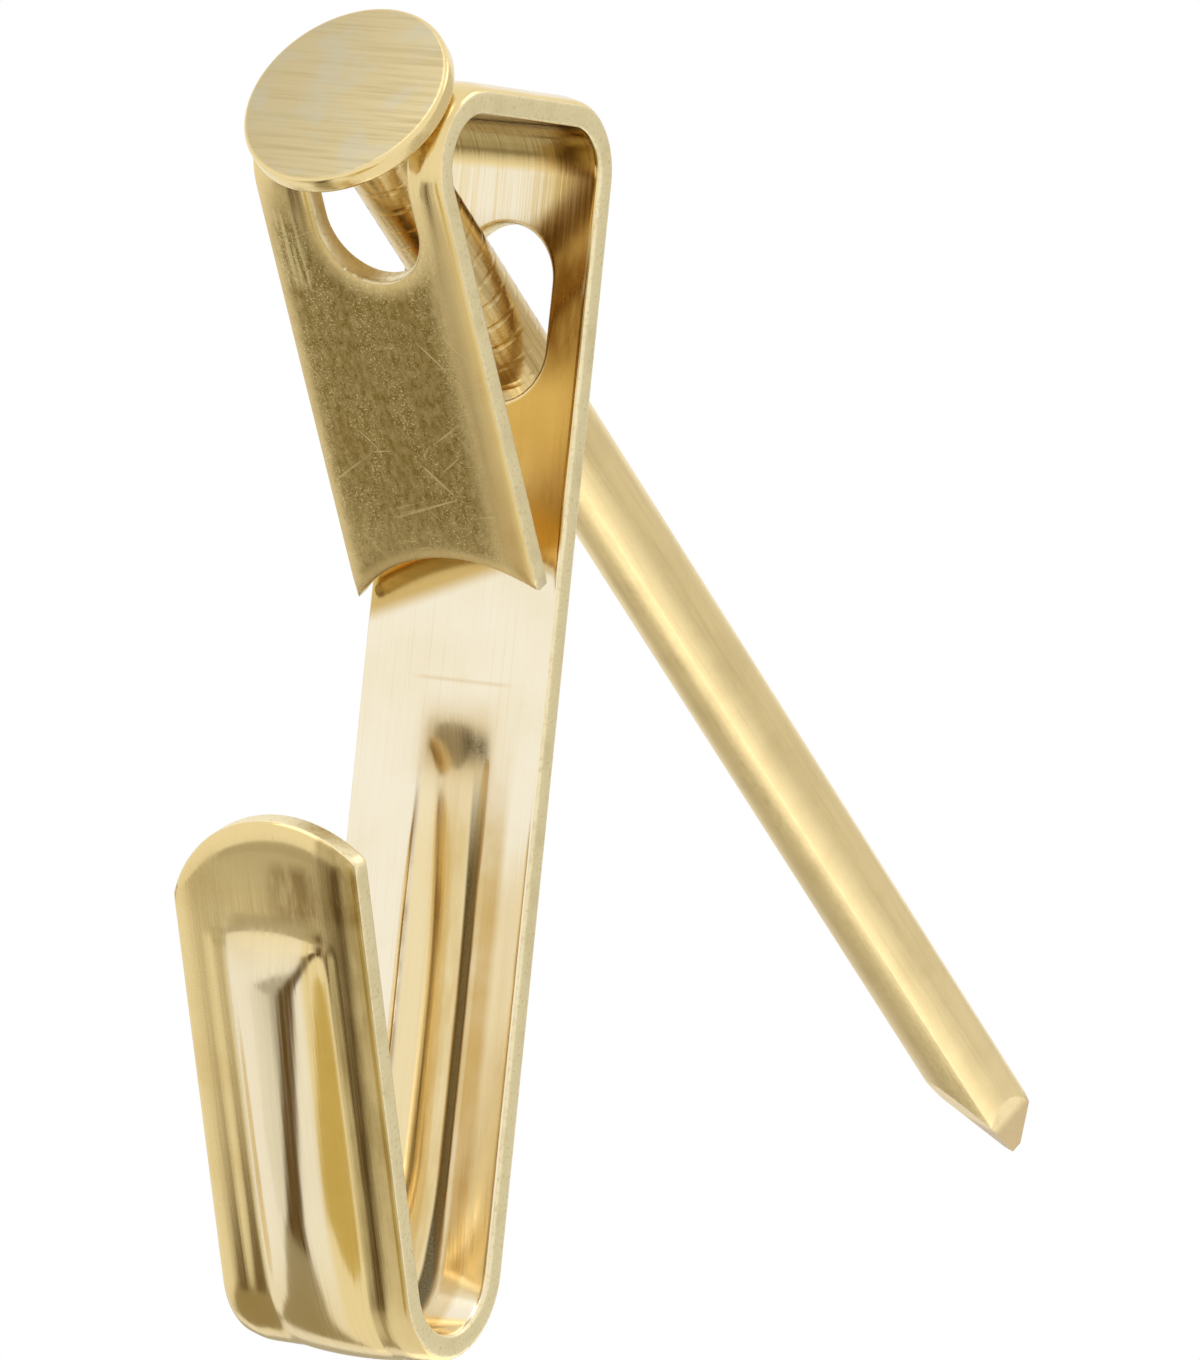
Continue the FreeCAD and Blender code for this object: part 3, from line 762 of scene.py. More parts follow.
@dataclass(frozen=True)
class PlatedFace:
    """Bright brass plating on rolled strip, worn on the tab, with painted highlights, painted shade and painted
    reflections laid over it.
    """

    tones: PlatingTones = PlatingTones()
    patterns: RollingPatterns = RollingPatterns()
    wear_and_painted_light: tuple[WearAndPaintedLight, ...] = (
        RolledPlate(), GrooveShading(), RibTopShade(), TabShadeAndPressLine(), LoopLightAndShade(), TabWearAndReflection(), LipWearAndHighlight())
    rough_lines: Breaks = Breaks(0.3, 0.7, 0.12, 0.22)
    lip_rough: float = 0.10
    tab_rough: float = 0.26
    drift_relief: float = 0.6
    relief: float = 0.0022 * MM

    def material(self, zones: StripZones) -> bpy.types.Material:
        """Make the material.

        Args:
            zones: The parts of the flat strip.

        Returns:
            The finished material, which reads the flat strip's coordinates.
        """
        coat = PlatingCoat("plated_face", zones, self.tones, self.patterns)
        for part in self.wear_and_painted_light:
            part.lay(coat)
        rough = coat.broken(coat.brush, self.rough_lines)
        rough = coat.work_out("ADD", rough, coat.product(coat.lip_sides, self.lip_rough))
        rough = coat.work_out("ADD", rough, coat.product(coat.on_tab, self.tab_rough))
        height = coat.work_out("ADD", coat.brush, coat.product(coat.drift, self.drift_relief))
        return coat.finish(coat.colour, rough, height, self.relief)


@dataclass(frozen=True)
class CutEdge:
    """The matt sheared edge of the strip, speckled and patchy."""

    pale: Colour = (0.90, 0.79, 0.50)
    dull: Colour = (0.68, 0.56, 0.32)
    speck: Pattern = Pattern(5200.0, 4.0, 0.65)
    speck_breaks: Breaks = Breaks(0.5, 0.72, 0.0, 0.8)
    patch: Pattern = Pattern(700.0, 3.0, 0.5)
    patch_breaks: Breaks = Breaks(0.45, 0.75, 0.0, 0.4)
    rough_specks: Breaks = Breaks(0.3, 0.7, 0.32, 0.50)
    relief: float = 0.012 * MM

    def material(self) -> bpy.types.Material:
        """Make the material.

        Returns:
            The finished material, which reads Object coordinates.
        """
        metal = Shader("cut_edge")
        place = metal.add("ShaderNodeTexCoord").outputs["Object"]
        speck = metal.noise(place, self.speck)
        patch = metal.noise(place, self.patch)
        colour = metal.tint(self.pale, self.dull, metal.broken(speck, self.speck_breaks))
        colour = metal.tint(colour, self.dull, metal.broken(patch, self.patch_breaks))
        return metal.finish(colour, metal.broken(speck, self.rough_specks), speck, self.relief)


@dataclass(frozen=True)
class DrawnShank:
    """Satin plating on drawn wire, streaked along the nail, with painted shade on the point and a painted
    reflection on the grip.
    """

    pale: Colour = (0.93, 0.75, 0.40)
    dull: Colour = (0.74, 0.57, 0.28)
    # Painted shade on the point.
    point: Colour = (0.62, 0.46, 0.225)
    # Painted reflection of the loop's inside on the grip.
    grip: Colour = (0.50, 0.32, 0.09)
    streak: Pattern = Pattern(4200.0, 3.0, 0.6, (1.0, 1.0, 0.03))
    streak_breaks: Breaks = Breaks(0.45, 0.75, 0.0, 0.5)
    patch: Pattern = Pattern(420.0, 4.0, 0.55)
    patch_breaks: Breaks = Breaks(0.45, 0.7, 0.0, 0.3)
    speck: Pattern = Pattern(6500.0, 2.0, 0.5)
    rough_specks: Breaks = Breaks(0.3, 0.7, 0.32, 0.42)
    point_run: Pair = (52.0 * MM, 53.0 * MM)
    grip_run: Pair = (0.5 * MM, 3.0 * MM)
    grip_streaks: Breaks = Breaks(0.3, 0.7, 0.35, 0.75)
    grip_gloss: float = 0.16
    streak_relief: float = 0.6
    relief: float = 0.005 * MM

    def material(self) -> bpy.types.Material:
        """Make the material.

        Returns:
            The finished material, which reads the nail's own coordinates.
        """
        metal = Shader("drawn_shank")
        own = metal.attribute("nail_place")
        along = metal.split(own)[2]
        streak = metal.noise(own, self.streak)
        patch = metal.noise(own, self.patch)
        speck = metal.noise(own, self.speck)
        gripped = metal.fall(along, self.grip_run)
        painted_grip_reflection = metal.product(gripped, metal.broken(streak, self.grip_streaks))
        grip_gloss = metal.product(gripped, self.grip_gloss)
        colour = metal.tint(self.pale, self.dull, metal.broken(streak, self.streak_breaks))
        colour = metal.tint(colour, self.dull, metal.broken(patch, self.patch_breaks))
        # Painted shade on the point.
        colour = metal.tint(colour, self.point, metal.rise(along, self.point_run))
        # Painted reflection of the loop's inside on the grip.
        colour = metal.tint(colour, self.grip, painted_grip_reflection)
        rough = metal.work_out("SUBTRACT", metal.broken(speck, self.rough_specks), grip_gloss)
        height = metal.work_out("ADD", metal.product(streak, self.streak_relief), speck)
        return metal.finish(colour, rough, height, self.relief)


@dataclass(frozen=True)
class BrushedHead:
    """Matt tan plating on the struck head, with fine lines one way, pale cool patches painted as sheen, and a
    bright rim.
    """

    pale: Colour = (0.55, 0.45, 0.25)
    dull: Colour = (0.41, 0.32, 0.14)
    cool_sheen: Colour = (0.50, 0.46, 0.33)
    rim: Colour = (0.86, 0.68, 0.34)
    line: Pattern = Pattern(6200.0, 3.0, 0.6, (0.03, 1.0, 1.0))
    line_breaks: Breaks = Breaks(0.42, 0.75, 0.0, 0.45)
    patch: Pattern = Pattern(500.0, 4.0, 0.55)
    patch_breaks: Breaks = Breaks(0.45, 0.65, 0.0, 0.6)
    rough_lines: Breaks = Breaks(0.3, 0.7, 0.35, 0.48)
    rim_run: Pair = (4.08 * MM, 4.23 * MM)
    rim_gloss: float = 0.2
    relief: float = 0.004 * MM

    def material(self) -> bpy.types.Material:
        """Make the material.

        Returns:
            The finished material, which reads the nail's own coordinates.
        """
        metal = Shader("brushed_head")
        own = metal.attribute("nail_place")
        x, y, _ = metal.split(own)
        square = metal.work_out("ADD", metal.product(x, x), metal.product(y, y))
        on_rim = metal.rise(metal.work_out("SQRT", square), self.rim_run)
        line = metal.noise(own, self.line)
        patch = metal.noise(own, self.patch)
        colour = metal.tint(self.pale, self.dull, metal.broken(line, self.line_breaks))
        # Pale cool patches are painted sheen.
        colour = metal.tint(colour, self.cool_sheen, metal.broken(patch, self.patch_breaks))
        colour = metal.tint(colour, self.rim, on_rim)
        rim_gloss = metal.product(on_rim, self.rim_gloss)
        rough = metal.work_out("SUBTRACT", metal.broken(line, self.rough_lines), rim_gloss)
        return metal.finish(colour, rough, line, self.relief)


def add_piece(name: str, bm: bmesh.types.BMesh, materials: list[bpy.types.Material], node: str) -> bpy.types.Object:
    """Turn a finished bmesh into a piece that stands for a CAD node.

    Args:
        name: The piece's name.
        bm: The mesh, in place. It is freed.
        materials: The materials, in the order of the face indices.
        node: The CAD node that the piece stands for.

    Returns:
        The new object.
    """
    mesh = bpy.data.meshes.new(name)
    bm.to_mesh(mesh)
    bm.free()
    for material in materials:
        mesh.materials.append(material)
    piece = bpy.data.objects.new(name, mesh)
    bpy.context.scene.collection.objects.link(piece)
    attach(piece, BODY)
    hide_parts(node)
    return piece


@dataclass
class HookStrip:
    """The hook: one strip, punched, ribbed and folded to a loop and a hook.

    The flat strip has u across its width and v along its outer face, with v
    zero at the level where the nail crosses the wall, positive up the plate
    and over the loop, and negative down the plate and up the lip.
    """

    width: float = 8.8 * MM
    sheet: float = 1.2 * MM
    loop_top: float = 9.9 * MM
    loop_depth: float = 12.75 * MM
    loop_bend: float = 1.95 * MM
    tab_angle: float = math.radians(32.5)
    tab_length: float = 16.3 * MM
    plate_drop: float = 36.2 * MM
    hook_bend: float = 2.4 * MM
    lip_angle: float = math.radians(22.0)
    lip_length: float = 19.2 * MM
    end_bow: float = 2.3 * MM
    end_offset: float = 0.7 * MM
    end_zone: float = 6.0 * MM
    lip_bow: float = 3.5 * MM
    lip_more: float = 0.5 * MM
    die_offset: float = 0.4 * MM
    back_slot_low: float = 0.0
    back_slot_high: float = 2.6 * MM
    back_slot_radius: float = 2.2 * MM
    front_slot_top: float = 0.7 * MM
    front_slot_drop: float = 3.9 * MM
    front_slot_radius: float = 2.35 * MM
    rib_top: float = 14.3 * MM
    rib_tip: float = 3.4 * MM
    rib_ramp: float = 2.8 * MM
    rib_taper: float = 12.0 * MM
    rib_steep: float = 0.55
    bend_flat: float = 0.85
    bend_core: float = 1.5 * MM
    bend_zone: float = 9.0 * MM
    bead_radius: float = 3.0 * MM
    bead_height: float = 1.05 * MM
    crease: float = 0.07 * MM
    die_left: float = -2.75 * MM
    die_right: float = 2.95 * MM
    die_tip: float = 4.3 * MM
    die_step: float = 0.07 * MM
    roll_depth: float = 0.22 * MM
    roll_width: float = 0.9 * MM
    roll_power: float = 1.3
    cell: float = 0.25 * MM
    snap: float = 0.52
    rim: float = 0.3 * MM
    end_rim: float = 0.6 * MM
    edge_round: float = 0.2 * MM
    edge_steps: int = 3
    face: PlatedFace = field(default_factory=PlatedFace)
    cut: CutEdge = field(default_factory=CutEdge)

    def __post_init__(self) -> None:
        """Lay out the folded paths up and down from the level of the nail."""
        bend = self.loop_bend + self.sheet
        hook = self.hook_bend + self.sheet
        front_turn = math.pi / 2.0 + self.tab_angle
        hook_turn = math.pi - self.lip_angle
        self.up = Walk((0.0, 0.0), math.pi / 2.0, [
            Leg(self.loop_top - bend),
            Leg(bend * math.pi / 2.0, math.pi / 2.0),
            Leg(self.loop_depth - 2.0 * bend),
            Leg(bend * front_turn, front_turn),
            Leg(self.tab_length),
        ])
        self.down = Walk((0.0, 0.0), -math.pi / 2.0, [
            Leg(self.plate_drop),
            Leg(hook * hook_turn, -hook_turn),
            Leg(self.lip_length),
        ])
        self.tab_start = self.up.length - self.tab_length
        self.bend_start = self.tab_start - bend * front_turn
        self.hook_middle = self.plate_drop + hook * hook_turn / 2.0
        self.slots = self.slot_places()
        self.groove_radius = self.bead_radius - self.sheet
        self.bead_half = self.rib_half(self.bead_radius)
        self.groove_half = self.rib_half(self.groove_radius)

    def slot_places(self) -> list[Slot]:
        """Place the slots for the nail.

        Returns:
            The slot in the plate and the slot in the tab.
        """
        reach = self.front_slot_radius
        top = self.bend_start + self.front_slot_top + reach
        bottom = self.tab_start + self.front_slot_drop - reach
        return [
            Slot(self.die_offset, self.back_slot_low, self.back_slot_high, self.back_slot_radius),
            Slot(self.die_offset, top, bottom, reach),
        ]

    def rib_half(self, radius: float) -> float:
        """Return half the width that a rib face of a radius takes up."""
        return math.sqrt(radius ** 2 - (radius - self.bead_height) ** 2)

    def zones(self) -> StripZones:
        """Return the places on the flat strip that the plating needs."""
        return StripZones(
            half_width=self.width / 2.0, tab_start=self.tab_start, tab_end=self.up.length,
            plate_end=-self.plate_drop, lip_end=-self.down.length, rib_top=-self.rib_top,
            rib_centre=self.die_offset, groove_half=self.groove_half, bead_half=self.bead_half)

    def build(self) -> bpy.types.Object:
        """Make the hook in the order of its real making, and dress it.

        Returns:
            The finished piece.
        """
        bm = bmesh.new()
        self.place = bm.verts.layers.float_vector.new("flat_place")
        self.edge_share = bm.verts.layers.float.new("edge_share")
        self.cut_blank(bm)
        for slot in self.slots:
            self.punch(bm, slot)
        self.fold(bm)
        self.thicken(bm)
        self.round_edges(bm)
        materials = [self.face.material(self.zones()), self.cut.material()]
        return add_piece("hook", bm, materials, "hook_strip")

    def cut_blank(self, bm: bmesh.types.BMesh) -> None:
        """Cut the flat strip, with its arc ends, as a grid of small cells.

        Args:
            bm: The empty mesh to fill.
        """
        low, high, half = -self.down.length, self.up.length, self.width / 2.0
        lines = [self.die_left, self.die_right]
        for rib_half in (self.bead_half, self.groove_half):
            lines += [self.die_offset - rib_half, self.die_offset + rib_half]
        creases = [line + shift for line in lines for shift in (-self.crease, self.crease)]
        across = [-half, *self.spread([-half + self.rim, *creases, half - self.rim]), half]
        along = [low, *self.spread([low + self.end_rim, high - self.end_rim]), high]
        columns, rows = len(across) - 1, len(along) - 1
        # The grid is made one unit wide and long, so a vertex's place there gives its two lines.
        bmesh.ops.create_grid(bm, x_segments=columns, y_segments=rows, size=UNIT_HALF)
        for vert in bm.verts:
            u = across[round((vert.co.x + UNIT_HALF) * columns)]
            v = along[round((vert.co.y + UNIT_HALF) * rows)]
            tab_share = max(0.0, (v - (high - self.end_zone)) / self.end_zone)
            lip_share = max(0.0, (low + self.end_zone - v) / self.end_zone)
            v += self.end_rise(u, self.end_bow) * tab_share
            v += (self.end_rise(u, self.lip_bow) - self.lip_more) * lip_share
            vert.co = (u, v, 0.0)

    def spread(self, stops: list[float]) -> list[float]:
        """Space grid lines evenly between given lines.

        Args:
            stops: The lines to keep, in any order.

        Returns:
            All lines in order, none further apart than about one cell.
        """
        kept = sorted(stops)
        lines = [kept[0]]
        for start, stop in zip(kept, kept[1:]):
            count = max(1, round((stop - start) / self.cell))
            lines += [start + (stop - start) * number / count for number in range(1, count + 1)]
        return lines

    def end_rise(self, u: float, bow: float) -> float:
        """Find how far an end arc lies past its middle.

        Args:
            u: The place across the strip.
            bow: The rise of the arc over the strip's width.

        Returns:
            The distance along the strip.
        """
        half = self.width / 2.0 + self.end_offset
        radius = (half * half + bow ** 2) / (2.0 * bow)
        return radius - math.sqrt(radius * radius - (u - self.end_offset) ** 2)

    def punch(self, bm: bmesh.types.BMesh, slot: Slot) -> None:
        """Punch a slot through the flat strip, with an even rim round it.

        Args:
            bm: The flat strip.
            slot: The outline to cut.
        """
        outer = slot.grown(self.rim)
        on_line = []
        for vert in bm.verts:
            gap = outer.gap(vert.co.x, vert.co.y)
            if abs(gap) <= self.snap * self.cell:
                vert.co -= gap * outer.outward(vert.co.x, vert.co.y)
                on_line.append(vert)
        bmesh.ops.connect_verts(bm, verts=on_line)
        inside = []
        for item in bm.faces:
            middle = item.calc_center_median()
            if outer.gap(middle.x, middle.y) < 0.0:
                inside.append(item)
        bmesh.ops.delete(bm, geom=inside, context="FACES")
        line = set(on_line)
        border = [edge for edge in bm.edges if edge.is_boundary and line.issuperset(edge.verts)]
        for made in bmesh.ops.extrude_edge_only(bm, edges=border)["geom"]:
            if isinstance(made, bmesh.types.BMVert):
                made.co -= self.rim * outer.outward(made.co.x, made.co.y)

    def rib_share(self, v: float) -> float:
        """Find how much of the rib's full height is pressed.

        Args:
            v: The place along the strip.

        Returns:
            The share, less towards the rib's ends and in the hook bend.
        """
        past = min(-self.rib_top - v, v + self.down.length - self.rib_tip)
        ramp = smooth_step(0.0, self.rib_ramp, past)
        taper = smooth_step(0.0, self.rib_taper, past)
        off_bend = abs(v + self.hook_middle)
        kept = 1.0 - self.bend_flat * (1.0 - smooth_step(self.bend_core, self.bend_zone, off_bend))
        return (self.rib_steep * ramp + (1.0 - self.rib_steep) * taper) * kept

    def rib_height(self, u: float, v: float, radius: float) -> float:
        """Find how far the press lifts a face of the strip.

        Args:
            u: The place across the strip.
            v: The place along the strip.
            radius: The round of the rib on that face.

        Returns:
            The height there.
        """
        off = abs(u - self.die_offset)
        if off >= radius:
            return 0.0
        crown = math.sqrt(radius ** 2 - off * off) - radius + self.bead_height
        return soft_max(crown, 0.0, self.crease) * self.rib_share(v)

    def die_mark(self, u: float, v: float) -> float:
        """Find the height of the shallow step that the die left on the lip.

        Args:
            u: The place across the strip.
            v: The place along the strip.

        Returns:
            The height there.
        """
        inside = min(u - self.die_left, self.die_right - u)
        along = v + self.down.length - self.die_tip
        fade = 1.0 - smooth_step(self.lip_length / 2.0, self.lip_length, along)
        step = smooth_step(-self.crease, self.crease, inside) * smooth_step(0.0, self.cell, along)
        return self.die_step * step * fade

    def edge_nearness(self, u: float, v: float) -> float:
        """Find how near a cut edge is.

        Args:
            u: The place across the strip.
            v: The place along the strip.

        Returns:
            1 at an edge, falling to 0 where the shears no longer pulled the face down.
        """
        gaps = [self.width / 2.0 - abs(u), self.up.length + self.end_rise(u, self.end_bow) - v,
                v + self.down.length - self.end_rise(u, self.lip_bow) + self.lip_more]
        gaps += [slot.gap(u, v) for slot in self.slots]
        return 1.0 - min(1.0, max(0.0, min(gaps)) / self.roll_width)

    def folded(self, u: float, v: float, lift: float) -> Vector:
        """Find the place of a point of the flat strip once it is folded.

        Args:
            u: The place across the strip.
            v: The place along the strip.
            lift: How far it lies outside the strip's outer face.

        Returns:
            The folded point.
        """
        point, heading = self.up.at(v) if v >= 0.0 else self.down.at(-v)
        side = 1.0 if v >= 0.0 else -1.0
        out = Vector((0.0, side * math.sin(heading), -side * math.cos(heading)))
        return point + out * lift + Vector((u, 0.0, 0.0))

    def fold(self, bm: bmesh.types.BMesh) -> None:
        """Press the rib and fold the flat strip along its path.

        Args:
            bm: The flat strip, which becomes the hook's outer face.
        """
        for vert in bm.verts:
            u, v = vert.co.x, vert.co.y
            vert[self.place] = (u, v, 0.0)
            vert[self.edge_share] = self.edge_nearness(u, v)
            roll = self.roll_depth * vert[self.edge_share] ** self.roll_power
            lift = self.rib_height(u, v, self.bead_radius) + self.die_mark(u, v) - roll
            vert.co = self.folded(u, v, lift)

    def thicken(self, bm: bmesh.types.BMesh) -> None:
        """Give the folded outer face the thickness of the sheet, inwards.

        Args:
            bm: The outer face, which becomes a closed strip.
        """
        faces = set(bm.faces)
        made = bmesh.ops.extrude_face_region(bm, geom=bm.faces[:], use_keep_orig=True)["geom"]
        for item in made:
            if isinstance(item, bmesh.types.BMFace):
                faces.add(item)
            elif isinstance(item, bmesh.types.BMVert):
                u, v, _ = item[self.place]
                item[self.place] = (u, v, 1.0)
                item.co = self.folded(u, v, self.rib_height(u, v, self.groove_radius) - self.sheet)
        for wall in set(bm.faces) - faces:
            wall.material_index = Side.CUT_EDGE.value
        bmesh.ops.recalc_face_normals(bm, faces=bm.faces)

    def round_edges(self, bm: bmesh.types.BMesh) -> None:
        """Round the edges between the faces and the sheared walls.

        Args:
            bm: The closed strip.
        """
        sharp = [edge for edge in bm.edges if len({item.material_index for item in edge.link_faces}) == 2]
        places = [vert[self.place].copy() for vert in bm.verts]
        known = kdtree.KDTree(len(bm.verts))
        for number, vert in enumerate(bm.verts):
            known.insert(vert.co, number)
        known.balance()
        rounded = bmesh.ops.bevel(bm, geom=sharp, offset=self.edge_round, offset_type="OFFSET",
                                  segments=self.edge_steps, profile=0.5, affect="EDGES", material=-1,
                                  clamp_overlap=False)
        # A new vertex takes the flat place of the old one that it lies nearest to.
        for vert in rounded["verts"]:
            vert[self.place] = places[known.find(vert.co)[1]]
            vert[self.edge_share] = 1.0
        for item in bm.faces:
            item.smooth = True


@dataclass
class Nail:
    """The headed nail that slants down through both slots into the wall.

    It is made along its own Z axis, with zero where it crosses the wall, and
    then turned into place.
    """

    slant: float = math.radians(34.5)
    radius: float = 1.65 * MM
    length: float = 71.0 * MM
    seat: float = 14.935 * MM
    head_radius: float = 4.3 * MM
    head_thickness: float = 0.85 * MM
    head_round: float = 0.2 * MM
    head_steps: int = 5
    grip_pitch: float = 1.1 * MM
    grip_half: float = 0.13 * MM
    grip_land: float = 0.05 * MM
    grip_depth: float = 0.03 * MM
    grip_count: int = 15
    grip_gap: float = 1.2 * MM
    point_lengths: tuple[float, ...] = (4.2 * MM, 6.8 * MM, 5.6 * MM, 3.0 * MM)
    point_flat: float = 0.25 * MM
    point_turn: float = math.radians(20.0)
    steps: int = 96
    shank: DrawnShank = field(default_factory=DrawnShank)
    head: BrushedHead = field(default_factory=BrushedHead)

    def build(self) -> bpy.types.Object:
        """Turn, roll and point the nail, and lay it through the slots.

        Returns:
            The finished piece.
        """
        bm = bmesh.new()
        self.turn_profile(bm)
        self.round_head(bm)
        self.cut_point(bm)
        self.mark(bm)
        bmesh.ops.rotate(bm, verts=bm.verts, cent=(0.0, 0.0, 0.0),
                         matrix=Matrix.Rotation(-math.pi / 2.0 - self.slant, 3, "X"))
        materials = [self.shank.material(), self.head.material()]
        return add_piece("nail_dressed", bm, materials, "nail")

    @property
    def top(self) -> float:
        """Return the height of the struck face of the head."""
        return -self.seat - self.head_thickness

    def turn_profile(self, bm: bmesh.types.BMesh) -> None:
        """Spin the nail's half profile, with its rolled grip rings, about Z.

        Args:
            bm: The empty mesh to fill.
        """
        tip = self.top + self.length
        profile = [(0.0, self.top), (self.head_radius, self.top), (self.head_radius, -self.seat),
                   (self.radius, -self.seat)]
        for ring in range(self.grip_count):
            middle = -self.seat + self.grip_gap + ring * self.grip_pitch
            profile.append((self.radius, middle - self.grip_half - self.grip_land))
            profile.append((self.radius, middle - self.grip_half))
            profile.append((self.radius - self.grip_depth, middle))
            profile.append((self.radius, middle + self.grip_half))
            profile.append((self.radius, middle + self.grip_half + self.grip_land))
        profile += [(self.radius, tip), (0.0, tip)]
        verts = [bm.verts.new((r, 0.0, z)) for r, z in profile]
        edges = [bm.edges.new(pair) for pair in zip(verts, verts[1:])]
        bmesh.ops.spin(bm, geom=verts + edges, cent=(0.0, 0.0, 0.0), axis=(0.0, 0.0, 1.0),
                       angle=2.0 * math.pi, steps=self.steps, use_merge=True)
        bmesh.ops.remove_doubles(bm, verts=bm.verts, dist=TOUCHING)
        bmesh.ops.recalc_face_normals(bm, faces=bm.faces)

    def round_head(self, bm: bmesh.types.BMesh) -> None:
        """Round the two rims of the head.

        Args:
            bm: The turned nail.
        """
        rims = [
            edge for edge in bm.edges
            if all(abs(math.hypot(vert.co.x, vert.co.y) - self.head_radius) < NEAR for vert in edge.verts)
            and abs(edge.verts[0].co.z - edge.verts[1].co.z) < TOUCHING
        ]
        bmesh.ops.bevel(bm, geom=rims, offset=self.head_round, offset_type="OFFSET",
                        segments=self.head_steps, profile=0.5, affect="EDGES", material=-1,
                        clamp_overlap=True)

    def cut_point(self, bm: bmesh.types.BMesh) -> None:
        """Cut the four flat facets of the diamond point on the smooth nail.

        Args:
            bm: The turned nail.
        """
        for item in bm.faces:
            item.smooth = True
        tip = Vector((0.0, 0.0, self.top + self.length))
        for quarter, length in enumerate(self.point_lengths):
            slope = math.atan2(self.radius - self.point_flat, length)
            turn = self.point_turn + quarter * math.pi / 2.0
            outward = Vector((math.cos(turn), math.sin(turn), 0.0))
            normal = outward * math.cos(slope) + Vector((0.0, 0.0, math.sin(slope)))
            cut = bmesh.ops.bisect_plane(
                bm, geom=bm.verts[:] + bm.edges[:] + bm.faces[:], dist=ON_PLANE,
                plane_co=outward * self.point_flat + tip, plane_no=normal, clear_outer=True)["geom_cut"]
            rim = [item for item in cut if isinstance(item, bmesh.types.BMEdge)]
            bmesh.ops.edgeloop_fill(bm, edges=rim)
        bmesh.ops.recalc_face_normals(bm, faces=bm.faces)

    def mark(self, bm: bmesh.types.BMesh) -> None:
        """Name the head's faces and keep each point's place on the nail.

        Args:
            bm: The pointed nail, before it is turned into place.
        """
        place = bm.verts.layers.float_vector.new("nail_place")
        for vert in bm.verts:
            vert[place] = vert.co
        for item in bm.faces:
            if item.calc_center_median().z < -self.seat:
                item.material_index = HeadSide.HEAD.value


@dataclass(frozen=True)
class Card:
    """A card that only shows as a reflection: two corners and the tone it gives back."""

    name: str
    low: Pair
    high: Pair
    tone: Colour


@dataclass(frozen=True)
class Lamp:
    """A square soft lamp that faces the hook, in metres and watts."""

    name: str
    place: Triple
    size: float
    power: float


